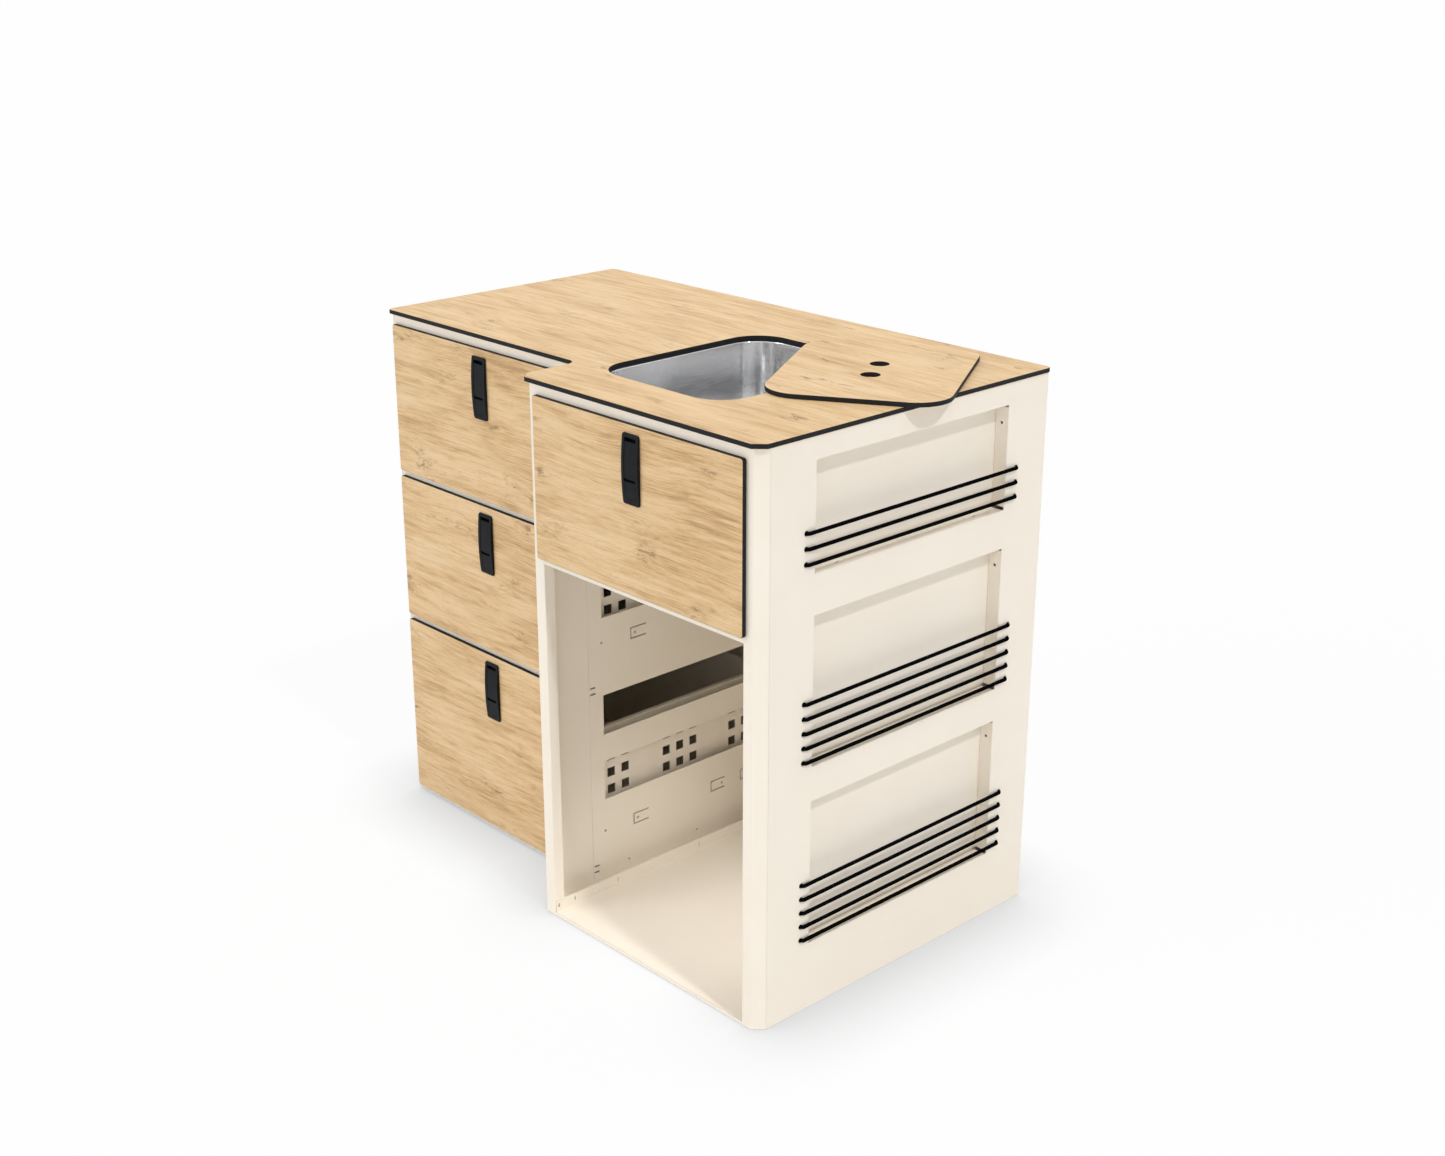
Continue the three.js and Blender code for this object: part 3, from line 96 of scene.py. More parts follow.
# What clouds, figure, fibre and year rings add to the decor's tone, and the middle of all tones
OAK_CLOUD_SHARE = 0.46
OAK_FIGURE_SHARE = 0.3
OAK_FIBRE_SHARE = 0.24
OAK_RING_SHARE = 0.007
OAK_MIDDLE_TONE = 0.5

# Year rings: their rate across the grain, and how far the clouds bend them
OAK_RING_RATE = 300
OAK_RING_BEND = 34

# Tones are stops of a colour ramp. All colours are linear.
OAK_TONES = (
    (0.37, (0.47, 0.28, 0.125)),
    (0.44, (0.625, 0.40, 0.186)),
    (0.50, (0.72, 0.492, 0.253)),
    (0.56, (0.775, 0.548, 0.30)),
    (0.64, (0.80, 0.60, 0.362)),
)
OAK_PORE = (0.44, 0.27, 0.13)
OAK_KNOT = (0.46, 0.27, 0.12)
OAK_KNOT_HEART = (0.23, 0.13, 0.058)
CORE_TONES = ((0.3, (0.0115, 0.0118, 0.0128)), (0.7, (0.021, 0.0215, 0.023)))
CREAM_TONES = ((0.3, (0.912, 0.836, 0.722)), (0.7, (0.93, 0.858, 0.748)))
CREAM_SPECK = (0.84, 0.75, 0.63)
PLASTIC_TONES = ((0.3, (0.0062, 0.007, 0.0085)), (0.7, (0.0095, 0.0105, 0.0125)))
RUBBER_TONES = ((0.35, (0.02, 0.02, 0.021)), (0.7, (0.034, 0.034, 0.035)))
BRAID_TONES = ((0, (0.0012, 0.0012, 0.0014)), (1, (0.0045, 0.0046, 0.005)))


class Paint:
    """A node material in the making. Most methods add a node and return what it puts out."""

    def __init__(self, name, **shader_values):
        self.material = bpy.data.materials.new(name)
        self.material.use_nodes = True
        self.tree = self.material.node_tree
        self.shader = self.tree.nodes["Principled BSDF"]
        for key, value in shader_values.items():
            self.put(self.shader.inputs[key.replace("_", " ")], value)

    def put(self, socket, value):
        """Links the socket to value where value comes from a node, or sets it."""
        if isinstance(value, bpy.types.NodeSocket):
            self.tree.links.new(value, socket)
        else:
            socket.default_value = value

    def add(self, kind, values=None, **settings):
        """Adds a node of a kind. Values are put into its inputs, and settings are its properties."""
        node = self.tree.nodes.new("ShaderNode" + kind)
        for key, value in settings.items():
            setattr(node, key, value)
        for key, value in (values or {}).items():
            self.put(node.inputs[key], value)
        return node.outputs

    def maths(self, operation, *values):
        return self.add("Math", dict(enumerate(values)), operation=operation)[0]

    def place(self):
        return self.add("TexCoord")["Object"]

    def scaled(self, vector, scales):
        return self.add("VectorMath", {0: vector, 1: scales}, operation="MULTIPLY")[0]

    def noise(self, vector, scale, detail=2, roughness=0.5):
        values = {"Vector": vector, "Scale": scale, "Detail": detail, "Roughness": roughness}
        return self.add("TexNoise", values)["Fac"]

    def between(self, value, low, high, to_low=0, to_high=1):
        """A smooth step from to_low to to_high, while value goes from low to high."""
        values = {0: value, 1: low, 2: high, 3: to_low, 4: to_high}
        return self.add("MapRange", values, interpolation_type="SMOOTHSTEP")[0]

    def ramp(self, factor, stops):
        """The colour at factor between the stops, each of which is a position and a colour."""
        outputs = self.add("ValToRGB", {"Fac": factor})
        elements = outputs[0].node.color_ramp.elements
        while len(elements) < len(stops):
            elements.new(0.5)
        for element, (position, colour) in zip(elements, stops):
            element.position = position
            element.color = (*colour, 1)
        return outputs["Color"]

    def mix(self, factor, first, second):
        """From the first colour at factor 0 to the second at factor 1."""
        values = {0: factor, 6: self.colour(first), 7: self.colour(second)}
        return self.add("Mix", values, data_type="RGBA", blend_type="MIX")[2]

    @staticmethod
    def colour(value):
        """A plain colour as a socket takes it, and what a node puts out as it is."""
        return (*value, 1) if isinstance(value, tuple) else value

    def finish(self, colour, roughness, height, depth):
        """The material with these, where height from 0 to 1 stands out by depth."""
        bump = self.add("Bump", {"Height": height, "Distance": depth})["Normal"]
        for key, value in (("Base Color", colour), ("Roughness", roughness), ("Normal", bump)):
            self.put(self.shader.inputs[key], value)
        return self.material


def oak(name, across, contrast=1, fine=1):
    """Oak decor with its grain along X. Across is the other axis that the decor lies in.

    Contrast and fine say how much stronger all its streaks, and its finest ones, are than usual.
    """
    paint = Paint(name)
    parts = paint.add("SeparateXYZ", {0: paint.place()})
    along, side = parts["X"], parts[across]

    def plane(x, y, rate_x, rate_y):
        return paint.add("CombineXYZ", {
            "X": paint.maths("MULTIPLY", x, rate_x),
            "Y": paint.maths("MULTIPLY", y, rate_y),
        })[0]

    def wandering(rate_x, rate_y, reach, detail=3):
        noise = paint.noise(plane(along, side, rate_x, rate_y), 1, detail, 0.55)
        return paint.maths("MULTIPLY", paint.maths("SUBTRACT", noise, 0.5), reach)

    # The grain wanders a little, and swirls in the small patches that hold the knots
    patch = paint.noise(plane(along, side, 10, 24), 1, 3, 0.6)
    knotty = paint.between(patch, 0.56, 0.67)
    line = paint.maths("ADD", side, wandering(2.1, 4, 0.045, 2))
    line = paint.maths("ADD", line, paint.maths("MULTIPLY", wandering(26, 52, 0.024), knotty))

    def streaks(rate_x, rate_line, detail, roughness):
        return paint.noise(plane(along, line, rate_x, rate_line), 1, detail, roughness)

    def stronger(value, share, strength):
        """The value times its share and its strength, with its middle left where it is."""
        middle = OAK_MIDDLE_TONE * share * (1 - strength)
        return paint.maths("MULTIPLY_ADD", value, share * strength, middle)

    clouds = streaks(*OAK_CLOUDS)
    figure = streaks(*OAK_FIGURE)
    fibre = streaks(*OAK_FIBRE)
    pores = streaks(*OAK_PORES)
    bent = paint.maths("MULTIPLY", clouds, OAK_RING_BEND)
    rings = paint.maths("SINE", paint.maths("ADD", paint.maths("MULTIPLY", line, OAK_RING_RATE), bent))
    tone = paint.maths("MULTIPLY", clouds, OAK_CLOUD_SHARE)
    tone = paint.maths("ADD", tone, paint.maths("MULTIPLY", figure, OAK_FIGURE_SHARE))
    tone = paint.maths("ADD", tone, stronger(fibre, OAK_FIBRE_SHARE, fine))
    tone = paint.maths("ADD", tone, paint.maths("MULTIPLY", rings, OAK_RING_SHARE))
    wood = paint.ramp(stronger(tone, 1, contrast), OAK_TONES)
    # Short dark pores, close together where the figure is dark
    flecks = paint.between(pores, 0.56, 0.69)
    flecks = paint.maths("MULTIPLY", flecks, paint.between(figure, 0.40, 0.58, 0.7, 0.08))
    wood = paint.mix(flecks, wood, OAK_PORE)
    # Knots: ragged brown streaks, with a small dark heart where they are thickest
    ragged = streaks(*OAK_RAGGED)
    shade = paint.maths("MULTIPLY", knotty, paint.between(ragged, 0.42, 0.62, 0, 0.66))
    wood = paint.mix(shade, wood, OAK_KNOT)
    thickest = paint.between(patch, 0.63, 0.71)
    heart = paint.maths("MULTIPLY", thickest, paint.between(ragged, 0.44, 0.56, 0, 0.78))
    wood = paint.mix(heart, wood, OAK_KNOT_HEART)
    relief = paint.maths("ADD", figure, paint.maths("MULTIPLY", fibre, 0.6))
    rough = paint.between(figure, 0.3, 0.7, 0.56, 0.46)
    return paint.finish(wood, rough, relief, depth=0.0001)


def laminate_core():
    """The black phenolic core, polished a little less where the saw left its marks."""
    paint = Paint("laminate_core", Specular_IOR_Level=0.12)
    place = paint.place()
    layers = paint.noise(paint.scaled(place, (60, 60, 2600)), 1, 2)
    mottle = paint.noise(place, 700, 3)
    colour = paint.ramp(mottle, CORE_TONES)
    rough = paint.between(layers, 0.3, 0.7, 0.55, 0.7)
    return paint.finish(colour, rough, layers, depth=0.00003)


def powder_coat():
    """Cream powder coat: a fine orange peel, a little more body in some places than in others."""
    paint = Paint("cream_powder_coat")
    place = paint.place()
    peel = paint.noise(place, 1700, 3, 0.55)
    cloud = paint.noise(place, 9, 3)
    speck = paint.noise(place, 5200, 2)
    colour = paint.ramp(cloud, CREAM_TONES)
    colour = paint.mix(paint.between(speck, 0.62, 0.8, 0, 0.12), colour, CREAM_SPECK)
    rough = paint.between(cloud, 0.3, 0.7, 0.52, 0.6)
    return paint.finish(colour, rough, peel, depth=0.00006)


def steel(name, light, dark, grain_scales, roughness, depth):
    """Bare steel with fine parallel lines and a soft bloom over them."""
    paint = Paint(name, Metallic=1.0)
    place = paint.place()
    lines = paint.noise(paint.scaled(place, grain_scales), 1, 4, 0.6)
    cloud = paint.noise(place, 26, 3)
    colour = paint.ramp(lines, [(0.3, dark), (0.7, light)])
    colour = paint.mix(paint.between(cloud, 0.35, 0.7, 0, 0.25), colour, dark)
    rough = paint.between(lines, 0.25, 0.75, roughness - 0.05, roughness + 0.07)
    return paint.finish(colour, rough, lines, depth)


def moulded_plastic():
    """Black glass-filled nylon with a fine spark-eroded grain."""
    paint = Paint("black_plastic", Specular_IOR_Level=0.1)
    place = paint.place()
    grain = paint.noise(place, 2600, 3, 0.6)
    cloud = paint.noise(place, 60, 2)
    colour = paint.ramp(cloud, PLASTIC_TONES)
    rough = paint.between(grain, 0.3, 0.7, 0.42, 0.56)
    return paint.finish(colour, rough, grain, depth=0.00005)


def rubber():
    """Black sealing rubber, a little darker in the low spots of its grain."""
    paint = Paint("black_rubber", Specular_IOR_Level=0.25)
    place = paint.place()
    grain = paint.noise(place, 1400, 3)
    colour = paint.ramp(grain, RUBBER_TONES)
    rough = paint.between(grain, 0.3, 0.7, 0.7, 0.86)
    return paint.finish(colour, rough, grain, depth=0.00004)


def braided_elastic():
    """Black braid over a rubber core: fine crossing threads."""
    paint = Paint("black_elastic", Specular_IOR_Level=0.0)
    place = paint.add("SeparateXYZ", {0: paint.place()})
    threads = [
        paint.maths("SINE", paint.maths("MULTIPLY", paint.maths(turn, place["Y"], place["Z"]), 3400))
        for turn in ("ADD", "SUBTRACT")]
    braid = paint.between(paint.maths("MAXIMUM", *threads), -0.4, 1)
    colour = paint.ramp(braid, BRAID_TONES)
    rough = paint.between(braid, 0, 1, 0.9, 0.68)
    return paint.finish(colour, rough, braid, depth=0.00015)


MATERIALS = {
    "oak_top": oak("oak_top", "Y"),
    "oak_front": oak("oak_front", "Z", contrast=1.12, fine=1.7),
    "laminate_core": laminate_core(),
    "cream_powder_coat": powder_coat(),
    "stainless_steel": steel(
        "stainless_steel", light=(0.84, 0.842, 0.848), dark=(0.79, 0.792, 0.798),
        grain_scales=(25, 25, 1500), roughness=0.15, depth=2e-7),
    "zinc_steel": steel(
        "zinc_steel", light=(0.66, 0.68, 0.70), dark=(0.50, 0.52, 0.54),
        grain_scales=(900, 60, 900), roughness=0.36, depth=1e-5),
    "black_plastic": moulded_plastic(),
    "black_rubber": rubber(),
    "black_elastic": braided_elastic(),
}


# Meshes

def merged_mesh(node):
    """The node's mesh with its shared corners merged."""
    source = nodes[node].data
    work = bmesh.new()
    corners = [work.verts.new(vertex.co) for vertex in source.vertices]
    for polygon in source.polygons:
        work.faces.new([corners[index] for index in polygon.vertices])
    bmesh.ops.remove_doubles(work, verts=work.verts, dist=MERGE_DISTANCE)
    work.normal_update()
    return work


def new_object(name, data):
    """A new object in the scene."""
    body = bpy.data.objects.new(name, data)
    bpy.context.scene.collection.objects.link(body)
    return body


def add_piece(name, work, materials, node):
    """A new piece from work in place of the node, on its body and in its slot."""
    mesh = bpy.data.meshes.new(name)
    work.to_mesh(mesh)
    work.free()
    mesh.shade_smooth()
    mesh.set_sharp_from_angle(angle=SHARP_ANGLE)
    for material in materials:
        mesh.materials.append(MATERIALS[material])
    piece = new_object(name, mesh)
    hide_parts(node)
    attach(piece, nodes[node]["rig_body"])
    return piece


# Sheets with rounded folds and broken edges

class Rounding:
    """How a sheet's edges are rounded: its folds, the inside of its folds, and its cut edges.

    A fold is an edge between two faces that both reach further than wide, and turns in segments.
    """

    def __init__(self, fold, inner_fold, cut, wide, segments):
        self.fold = fold
        self.inner_fold = inner_fold
        self.cut = cut
        self.wide = wide
        self.segments = segments

    def is_fold(self, edge, regions):
        """A fold has a flat face on both sides that reaches further than a cut edge is wide."""
        start = edge.verts[0].co
        along = (edge.verts[1].co - start).normalized()
        return all(
            any((corner - start).cross(along).length > self.wide for corner in regions[face].corners)
            for face in edge.link_faces
        ) and all(width_beside(half, regions[half.face]) > self.wide for half in edge.link_loops)

    def setback(self, edge, regions):
        """How far the rounding reaches into the faces beside the edge, and in how many steps it turns."""
        turn = edge.calc_face_angle()
        if turn < EDGE_ANGLE:
            return 0, 1
        if not self.is_fold(edge, regions):
            return self.cut, 1
        radius = self.fold if edge.is_convex else self.inner_fold
        return radius * math.tan(turn / 2), self.segments


def width_beside(half, region):
    """How far the region reaches away from the middle of the half-edge on its border."""
    start, end = half.vert.co, half.link_loop_next.vert.co
    along = (end - start).normalized()
    inward = region.normal.cross(along)
    middle = (start + end) / 2
    nearest = math.inf
    for other in region.following:
        first, second = other.vert.co - middle, other.link_loop_next.vert.co - middle
        before, after = first.dot(along), second.dot(along)
        if before * after <= 0 and before != after:
            share = before / (before - after)
            depth = first.dot(inward) * (1 - share) + second.dot(inward) * share
            if depth > SAME_POINT:
                nearest = min(nearest, depth)
    return nearest


def leaving_after(half, regions):
    """The next half-edge round the border of the region that half is on the border of."""
    following = half.link_loop_next
    while regions[following.link_loop_radial_next.face] is regions[half.face]:
        following = following.link_loop_radial_next.link_loop_next
    return following


class Region:
    """A flat stretch of the surface. Each of its corners goes by the half-edge that leaves it.

    Following and arriving give the next and the previous half-edge on the border, and points where
    a corner has moved to.
    """

    def __init__(self, faces):
        self.faces = faces
        self.normal = faces[0].normal.copy()
        self.corners = [corner.co.copy() for face in faces for corner in face.verts]
        self.following = {}
        self.arriving = {}
        self.points = {}

    def find_border(self, regions):
        """Finds the half-edges round the region, and which follows which."""
        for face in self.faces:
            for half in face.loops:
                if regions[half.link_loop_radial_next.face] is not self:
                    following = leaving_after(half, regions)
                    self.following[half] = following
                    self.arriving[following] = half

    def loops(self):
        """The half-edges round each closed loop of the border, with the surface on their left."""
        waiting = dict(self.following)
        found = []
        while waiting:
            half = next(iter(waiting))
            loop = []
            while half in waiting:
                loop.append(half)
                half = waiting.pop(half)
            found.append(loop)
        return found


def flat_regions(work):
    """The region that each face of the mesh is in."""
    regions = {}
    for first in work.faces:
        if first in regions:
            continue
        members = [first]
        regions[first] = None
        for face in members:
            for edge in face.edges:
                for other in edge.link_faces:
                    if other not in regions and other.normal.angle(first.normal, math.pi) < FLAT_ANGLE:
                        regions[other] = None
                        members.append(other)
        region = Region(members)
        for face in members:
            regions[face] = region
    for region in unique(regions.values()):
        region.find_border(regions)
    return regions


def unique(items):
    """Each of the items once, in their order."""
    return list({id(item): item for item in items}.values())


def drawn_in(region, leaving, setbacks):
    """Where the region's corner goes when both edges beside it draw in by their setbacks."""
    arriving = region.arriving[leaving]
    corner = leaving.vert.co
    into = (corner - arriving.vert.co).normalized()
    out = (leaving.link_loop_next.vert.co - corner).normalized()
    left_in, left_out = region.normal.cross(into), region.normal.cross(out)
    step_in, step_out = setbacks[arriving.edge][0], setbacks[leaving.edge][0]
    across = left_in.dot(left_out)
    spread = 1 - across * across
    if spread < STRAIGHT_CORNER:
        points = [corner + left_in * step_in]
        if abs(step_in - step_out) > MERGE_DISTANCE:
            points.append(corner + left_out * step_out)
        return points
    share_in = (step_in - across * step_out) / spread
    share_out = (step_out - across * step_in) / spread
    return [corner + left_in * share_in + left_out * share_out]


def add_face(work, points):
    """A face through points, or none where they close up to a line."""
    kept = [point for index, point in enumerate(points) if (point - points[index - 1]).length > SAME_POINT]
    if len(kept) > 2:
        work.faces.new([work.verts.new(point) for point in kept])


class RoundedMesh:
    """A closed mesh with its edges rounded: flat regions draw in, and strips and corners join them."""

    def __init__(self, source, rounding):
        self.regions = flat_regions(source)
        self.setbacks = {}
        for edge in source.edges:
            first, second = (self.regions[face] for face in edge.link_faces)
            if first is not second:
                self.setbacks[edge] = rounding.setback(edge, self.regions)
        different = unique(self.regions.values())
        for region in different:
            region.points = {
                leaving: drawn_in(region, leaving, self.setbacks) for leaving in region.arriving}
        fans = self.fans(different)
        for fan in fans:
            self.follow_fold(fan)
        self.work = bmesh.new()
        for fan in fans:
            self.close_corner(fan)
        for region in different:
            for half in region.following:
                self.round_edge(region, half)
            self.fill(region)
        bmesh.ops.remove_doubles(self.work, verts=self.work.verts, dist=SAME_POINT)
        bmesh.ops.recalc_face_normals(self.work, faces=self.work.faces)
        source.free()

    def region(self, half):
        """The region that the half-edge is on the border of."""
        return self.regions[half.face]

    def steps(self, half):
        """In how many steps the edge turns: more than one on a fold."""
        return self.setbacks[half.edge][1]

    def fans(self, different):
        """For each corner of the mesh, the half-edges that leave it, in order round it."""
        found, seen = [], set()
        for region in different:
            for first in region.following:
                if first in seen:
                    continue
                fan = [first]
                while True:
                    across = fan[-1].link_loop_radial_next
                    leaving = self.region(across).following[across]
                    if leaving == first:
                        break
                    fan.append(leaving)
                seen.update(fan)
                found.append(fan)
        return found

    def section(self, half, leaving):
        """The round edge's section at half's start, from its own region to the next one, left by leaving."""
        first, second = self.region(half), self.region(leaving)
        start, end = first.points[half][-1], second.points[leaving][0]
        corner = half.vert.co
        along = (half.link_loop_next.vert.co - corner).normalized()
        middle = corner + along * ((start - corner).dot(along) + (end - corner).dot(along)) / 2
        weight = math.cos(first.normal.angle(second.normal) / 2)
        steps = self.steps(half)
        points = []
        for step in range(steps + 1):
            t = step / steps
            shares = ((1 - t) ** 2, 2 * weight * t * (1 - t), t ** 2)
            points.append((start * shares[0] + middle * shares[1] + end * shares[2]) / sum(shares))
        return points

    def follow_fold(self, fan):
        """Rounds the end face of a folded sheet like the fold that ends on it."""
        folds = [index for index, half in enumerate(fan) if self.steps(half) > 1]
        if len(fan) != 3 or len(folds) != 1:
            return
        fold, across, ending = (fan[(folds[0] + step) % 3] for step in range(3))
        first, second, end = (self.region(half) for half in (fold, across, ending))
        section = self.section(fold, across)
        step_in = self.setbacks[ending.edge][0]
        points = []
        for index, point in enumerate(section):
            t = index / (len(section) - 1)
            outward = (first.normal * (1 - t) + second.normal * t).normalized()
            on_end = point - end.normal * (point - fold.vert.co).dot(end.normal)
            points.append(on_end - outward * step_in)
        end.points[ending] = list(reversed(points))

    def close_corner(self, fan):
        """Fills the gap that the drawn-in regions leave at a corner."""
        sections = [self.section(half, fan[(index + 1) % len(fan)]) for index, half in enumerate(fan)]
        folds = [index for index, half in enumerate(fan) if self.steps(half) > 1]
        if len(fan) == 3 and len(folds) == 1:
            ending = fan[(folds[0] + 2) % 3]
            section = sections[folds[0]]
            rim = list(reversed(self.region(ending).points[ending]))
            for index in range(len(section) - 1):
                add_face(self.work, [section[index + 1], section[index], rim[index], rim[index + 1]])
            return
        points = []
        for half, section in zip(fan, sections):
            points.extend(self.region(half).points[half][:-1])
            points.extend(section[:-1])
        add_face(self.work, list(reversed(points)))

    def round_edge(self, region, half):
        """Joins the two regions beside an edge with the strip that rounds it, once for both of them."""
        across = half.link_loop_radial_next
        if self.setbacks[half.edge][0] == 0 or half.vert.index > across.vert.index:
            return
        near = self.section(half, self.region(across).following[across])
        far = list(reversed(self.section(across, region.following[half])))
        for index in range(len(near) - 1):
            add_face(self.work, [far[index], near[index], near[index + 1], far[index + 1]])

    def fill(self, region):
        """Fills the drawn-in region, with its holes left open."""
        loops = [[point for half in loop for point in region.points[half]] for loop in region.loops()]
        if len(loops) == 1:
            add_face(self.work, loops[0])
            return
        rims = [edge for points in loops for edge in closed_ring(self.work, points)[1]]
        filled = bmesh.ops.triangle_fill(self.work, edges=rims, use_beauty=True, normal=region.normal)
        for face in filled["geom"]:
            if isinstance(face, bmesh.types.BMFace):
                face.normal_update()
                if face.calc_area() < SAME_POINT ** 2:
                    self.drop_line(face)
                elif face.normal.dot(region.normal) < 0:
                    face.normal_flip()

    def drop_line(self, face):
        """Removes a triangle that has closed up to a line, and gives its longest edge its third corner."""
        longest = max(face.edges, key=lambda edge: edge.calc_length())
        third = next(corner for corner in face.verts if corner not in longest.verts)
        start, end = (corner.co for corner in longest.verts)
        share = (third.co - start).dot(end - start) / (end - start).length_squared
        bmesh.utils.edge_split(longest, longest.verts[0], share)
        self.work.faces.remove(face)


def closed_ring(work, points):
    """New corners at points and the edges that join them into a ring."""
    corners = [work.verts.new(point) for point in points]
    return corners, [work.edges.new((corner, corners[index - 1])) for index, corner in enumerate(corners)]


SHEET_ROUNDING = Rounding(fold=0.00145, inner_fold=0.0003, cut=0.0002, wide=0.003, segments=3)

# Two sheets that lie on each other with a hairline between them keep crisper cut edges
STACKED_SHEETS = ("cavity_floor", "base_sheet")
STACKED_SHEET_ROUNDING = Rounding(fold=0.00145, inner_fold=0.0003, cut=0.00004, wide=0.003, segments=3)

# The modifier's own highest weight, at which wide faces shade as flat as they are
WIDE_FACE_WEIGHT = 100


def soft_edged(node, material, rounding):
    """The node's own shape with rounded folds and broken edges."""
    source = merged_mesh(node)
    source.verts.index_update()
    work = RoundedMesh(source, rounding).work
    piece = add_piece(f"{node}_sheet", work, [material], node)
    piece.data.set_sharp_from_angle(angle=SHEET_SHARP_ANGLE)
    weighted = piece.modifiers.new("flat_faces_shade_flat", "WEIGHTED_NORMAL")
    weighted.keep_sharp = True
    weighted.weight = WIDE_FACE_WEIGHT


# Boards of compact laminate: the decor ends at a small chamfer that shows the black core

LAMINATE_CHAMFER = 0.0005

# How often the chords of round corners are halved, and how much longer than the chord beside it a
# straight stretch is
ARC_ROUNDS = 2
STRAIGHT_RATIO = 2


def rim_loops(work, normal):
    """The closed loops round the outermost flat face that looks along normal, material on their left."""
    facing = [face for face in work.faces if face.normal.angle(normal, math.pi) < FLAT_ANGLE]
    reach = max(face.verts[0].co.dot(normal) for face in facing)
    outermost = [face for face in facing if reach - face.verts[0].co.dot(normal) < MERGE_DISTANCE]
    following = {}
    for face in outermost:
        for corner in face.loops:
            if corner.link_loop_radial_next.face not in outermost:
                following[corner.vert] = corner.link_loop_next.vert
    loops = []
    while following:
        first, corner = next(iter(following.items()))
        del following[first]
        loop = [first.co.copy()]
        while corner is not first:
            loop.append(corner.co.copy())
            corner = following.pop(corner)
        loops.append(without_straight_points(loop))
    return loops


def without_straight_points(loop):
    """The loop's corners, without the points that lie on a straight stretch."""
    kept = []
    for index, point in enumerate(loop):
        into = point - loop[index - 1]
        out = loop[(index + 1) % len(loop)] - point
        if into.angle(out) > FLAT_ANGLE:
            kept.append(point)
    return kept


def corner_tangent(loop, index):
    """The loop's direction at a point on a round stretch or at its end, or None at a sharp corner."""
    into = loop[index] - loop[index - 1]
    out = loop[(index + 1) % len(loop)] - loop[index]
    if into.angle(out) > SHARP_ANGLE:
        return None
    if max(into.length, out.length) > STRAIGHT_RATIO * min(into.length, out.length):
        return max(into, out, key=lambda chord: chord.length).normalized()
    return (into.normalized() + out.normalized()).normalized()


def with_round_arcs(loop):
    """The loop with a middle point added on the arc of each chord of its round stretches.

    It stands off the chord by an eighth of the chord times the turn of the arc.
    """
    tangents = [corner_tangent(loop, index) for index in range(len(loop))]
    finer = []
    for index, point in enumerate(loop):
        finer.append(point)
        following = (index + 1) % len(loop)
        if tangents[index] is None or tangents[following] is None:
            continue
        turn = tangents[index] - tangents[following]
        if turn.length > FLAT_ANGLE:
            chord = (loop[following] - point).length
            finer.append((point + loop[following]) / 2 + turn * chord / 8)
    return finer


def inset(loop, normal, distance):
    """The loop moved by distance into the material on its left."""
    moved = []
    for index, point in enumerate(loop):
        into = normal.cross(point - loop[index - 1]).normalized()
        out = normal.cross(loop[(index + 1) % len(loop)] - point).normalized()
        moved.append(point + (into + out) * distance / (1 + into.dot(out)))
    return moved


def board(node, normal, material):
    """A laminate board: decor on both faces, round arcs, and chamfered black edges."""
    source = merged_mesh(node)
    loops = rim_loops(source, normal)
    heights = [vertex.co.dot(normal) for vertex in source.verts]
    depth = max(heights) - min(heights)
    source.free()
    for _ in range(ARC_ROUNDS):
        loops = [with_round_arcs(loop) for loop in loops]
    far_rim = depth - LAMINATE_CHAMFER
    drops = ((LAMINATE_CHAMFER, 0), (0, LAMINATE_CHAMFER), (0, far_rim), (LAMINATE_CHAMFER, depth))
    work = bmesh.new()
    rims_by_side = ([], [])
    for loop in loops:
        rings = []
        for inward, drop in drops:
            moved = inset(loop, normal, inward)
            rings.append(closed_ring(work, [point - normal * drop for point in moved]))
        for (upper, _), (lower, _) in zip(rings, rings[1:]):
            for index in range(len(upper)):
                quad = (upper[index - 1], lower[index - 1], lower[index], upper[index])
                work.faces.new(quad).material_index = 1
        rims_by_side[0].extend(rings[0][1])
        rims_by_side[1].extend(rings[-1][1])
    for rim_edges, side in zip(rims_by_side, (normal, -normal)):
        bmesh.ops.triangle_fill(work, edges=rim_edges, use_beauty=True, normal=side)
    bmesh.ops.recalc_face_normals(work, faces=work.faces)
    add_piece(f"{node}_board", work, [material, "laminate_core"], node)


board("worktop", UP, "oak_top")
board("sink_lid", UP, "oak_top")
for drawer in DRAWERS:
    board(f"{drawer}_drawer_front", FORWARD, "oak_front")


# Elastic cords, each laced through its holes and knotted behind the first and the last one

# The lines that show outside each pocket, how far they are apart, and how far behind them the cord
# passes from one to the next
CORD_LINES = {"upper": 3, "middle": 5, "lower": 5}
CORD_PITCH = 0.0195
CORD_BEHIND = 0.0095
CORD_RADIUS = 0.0025
CORD_BEND_RADIUS = 0.004
TUBE_SIDES = 14
BEND_STEPS = 7
KNOT_RADIUS = 0.0055
KNOT_SIDES = 24
KNOT_RINGS = 14
KNOT_GROOVES = 6
KNOT_GROOVE_DEPTH = 0.12
KNOT_GROOVE_SHARPNESS = 8


def bend(centre, start, end):
    """Points on a quarter bend about centre, from the direction start to the direction end."""
    turns = (math.pi / 2 * step / BEND_STEPS for step in range(BEND_STEPS + 1))
    return [centre + CORD_BEND_RADIUS * (start * math.cos(turn) + end * math.sin(turn)) for turn in turns]


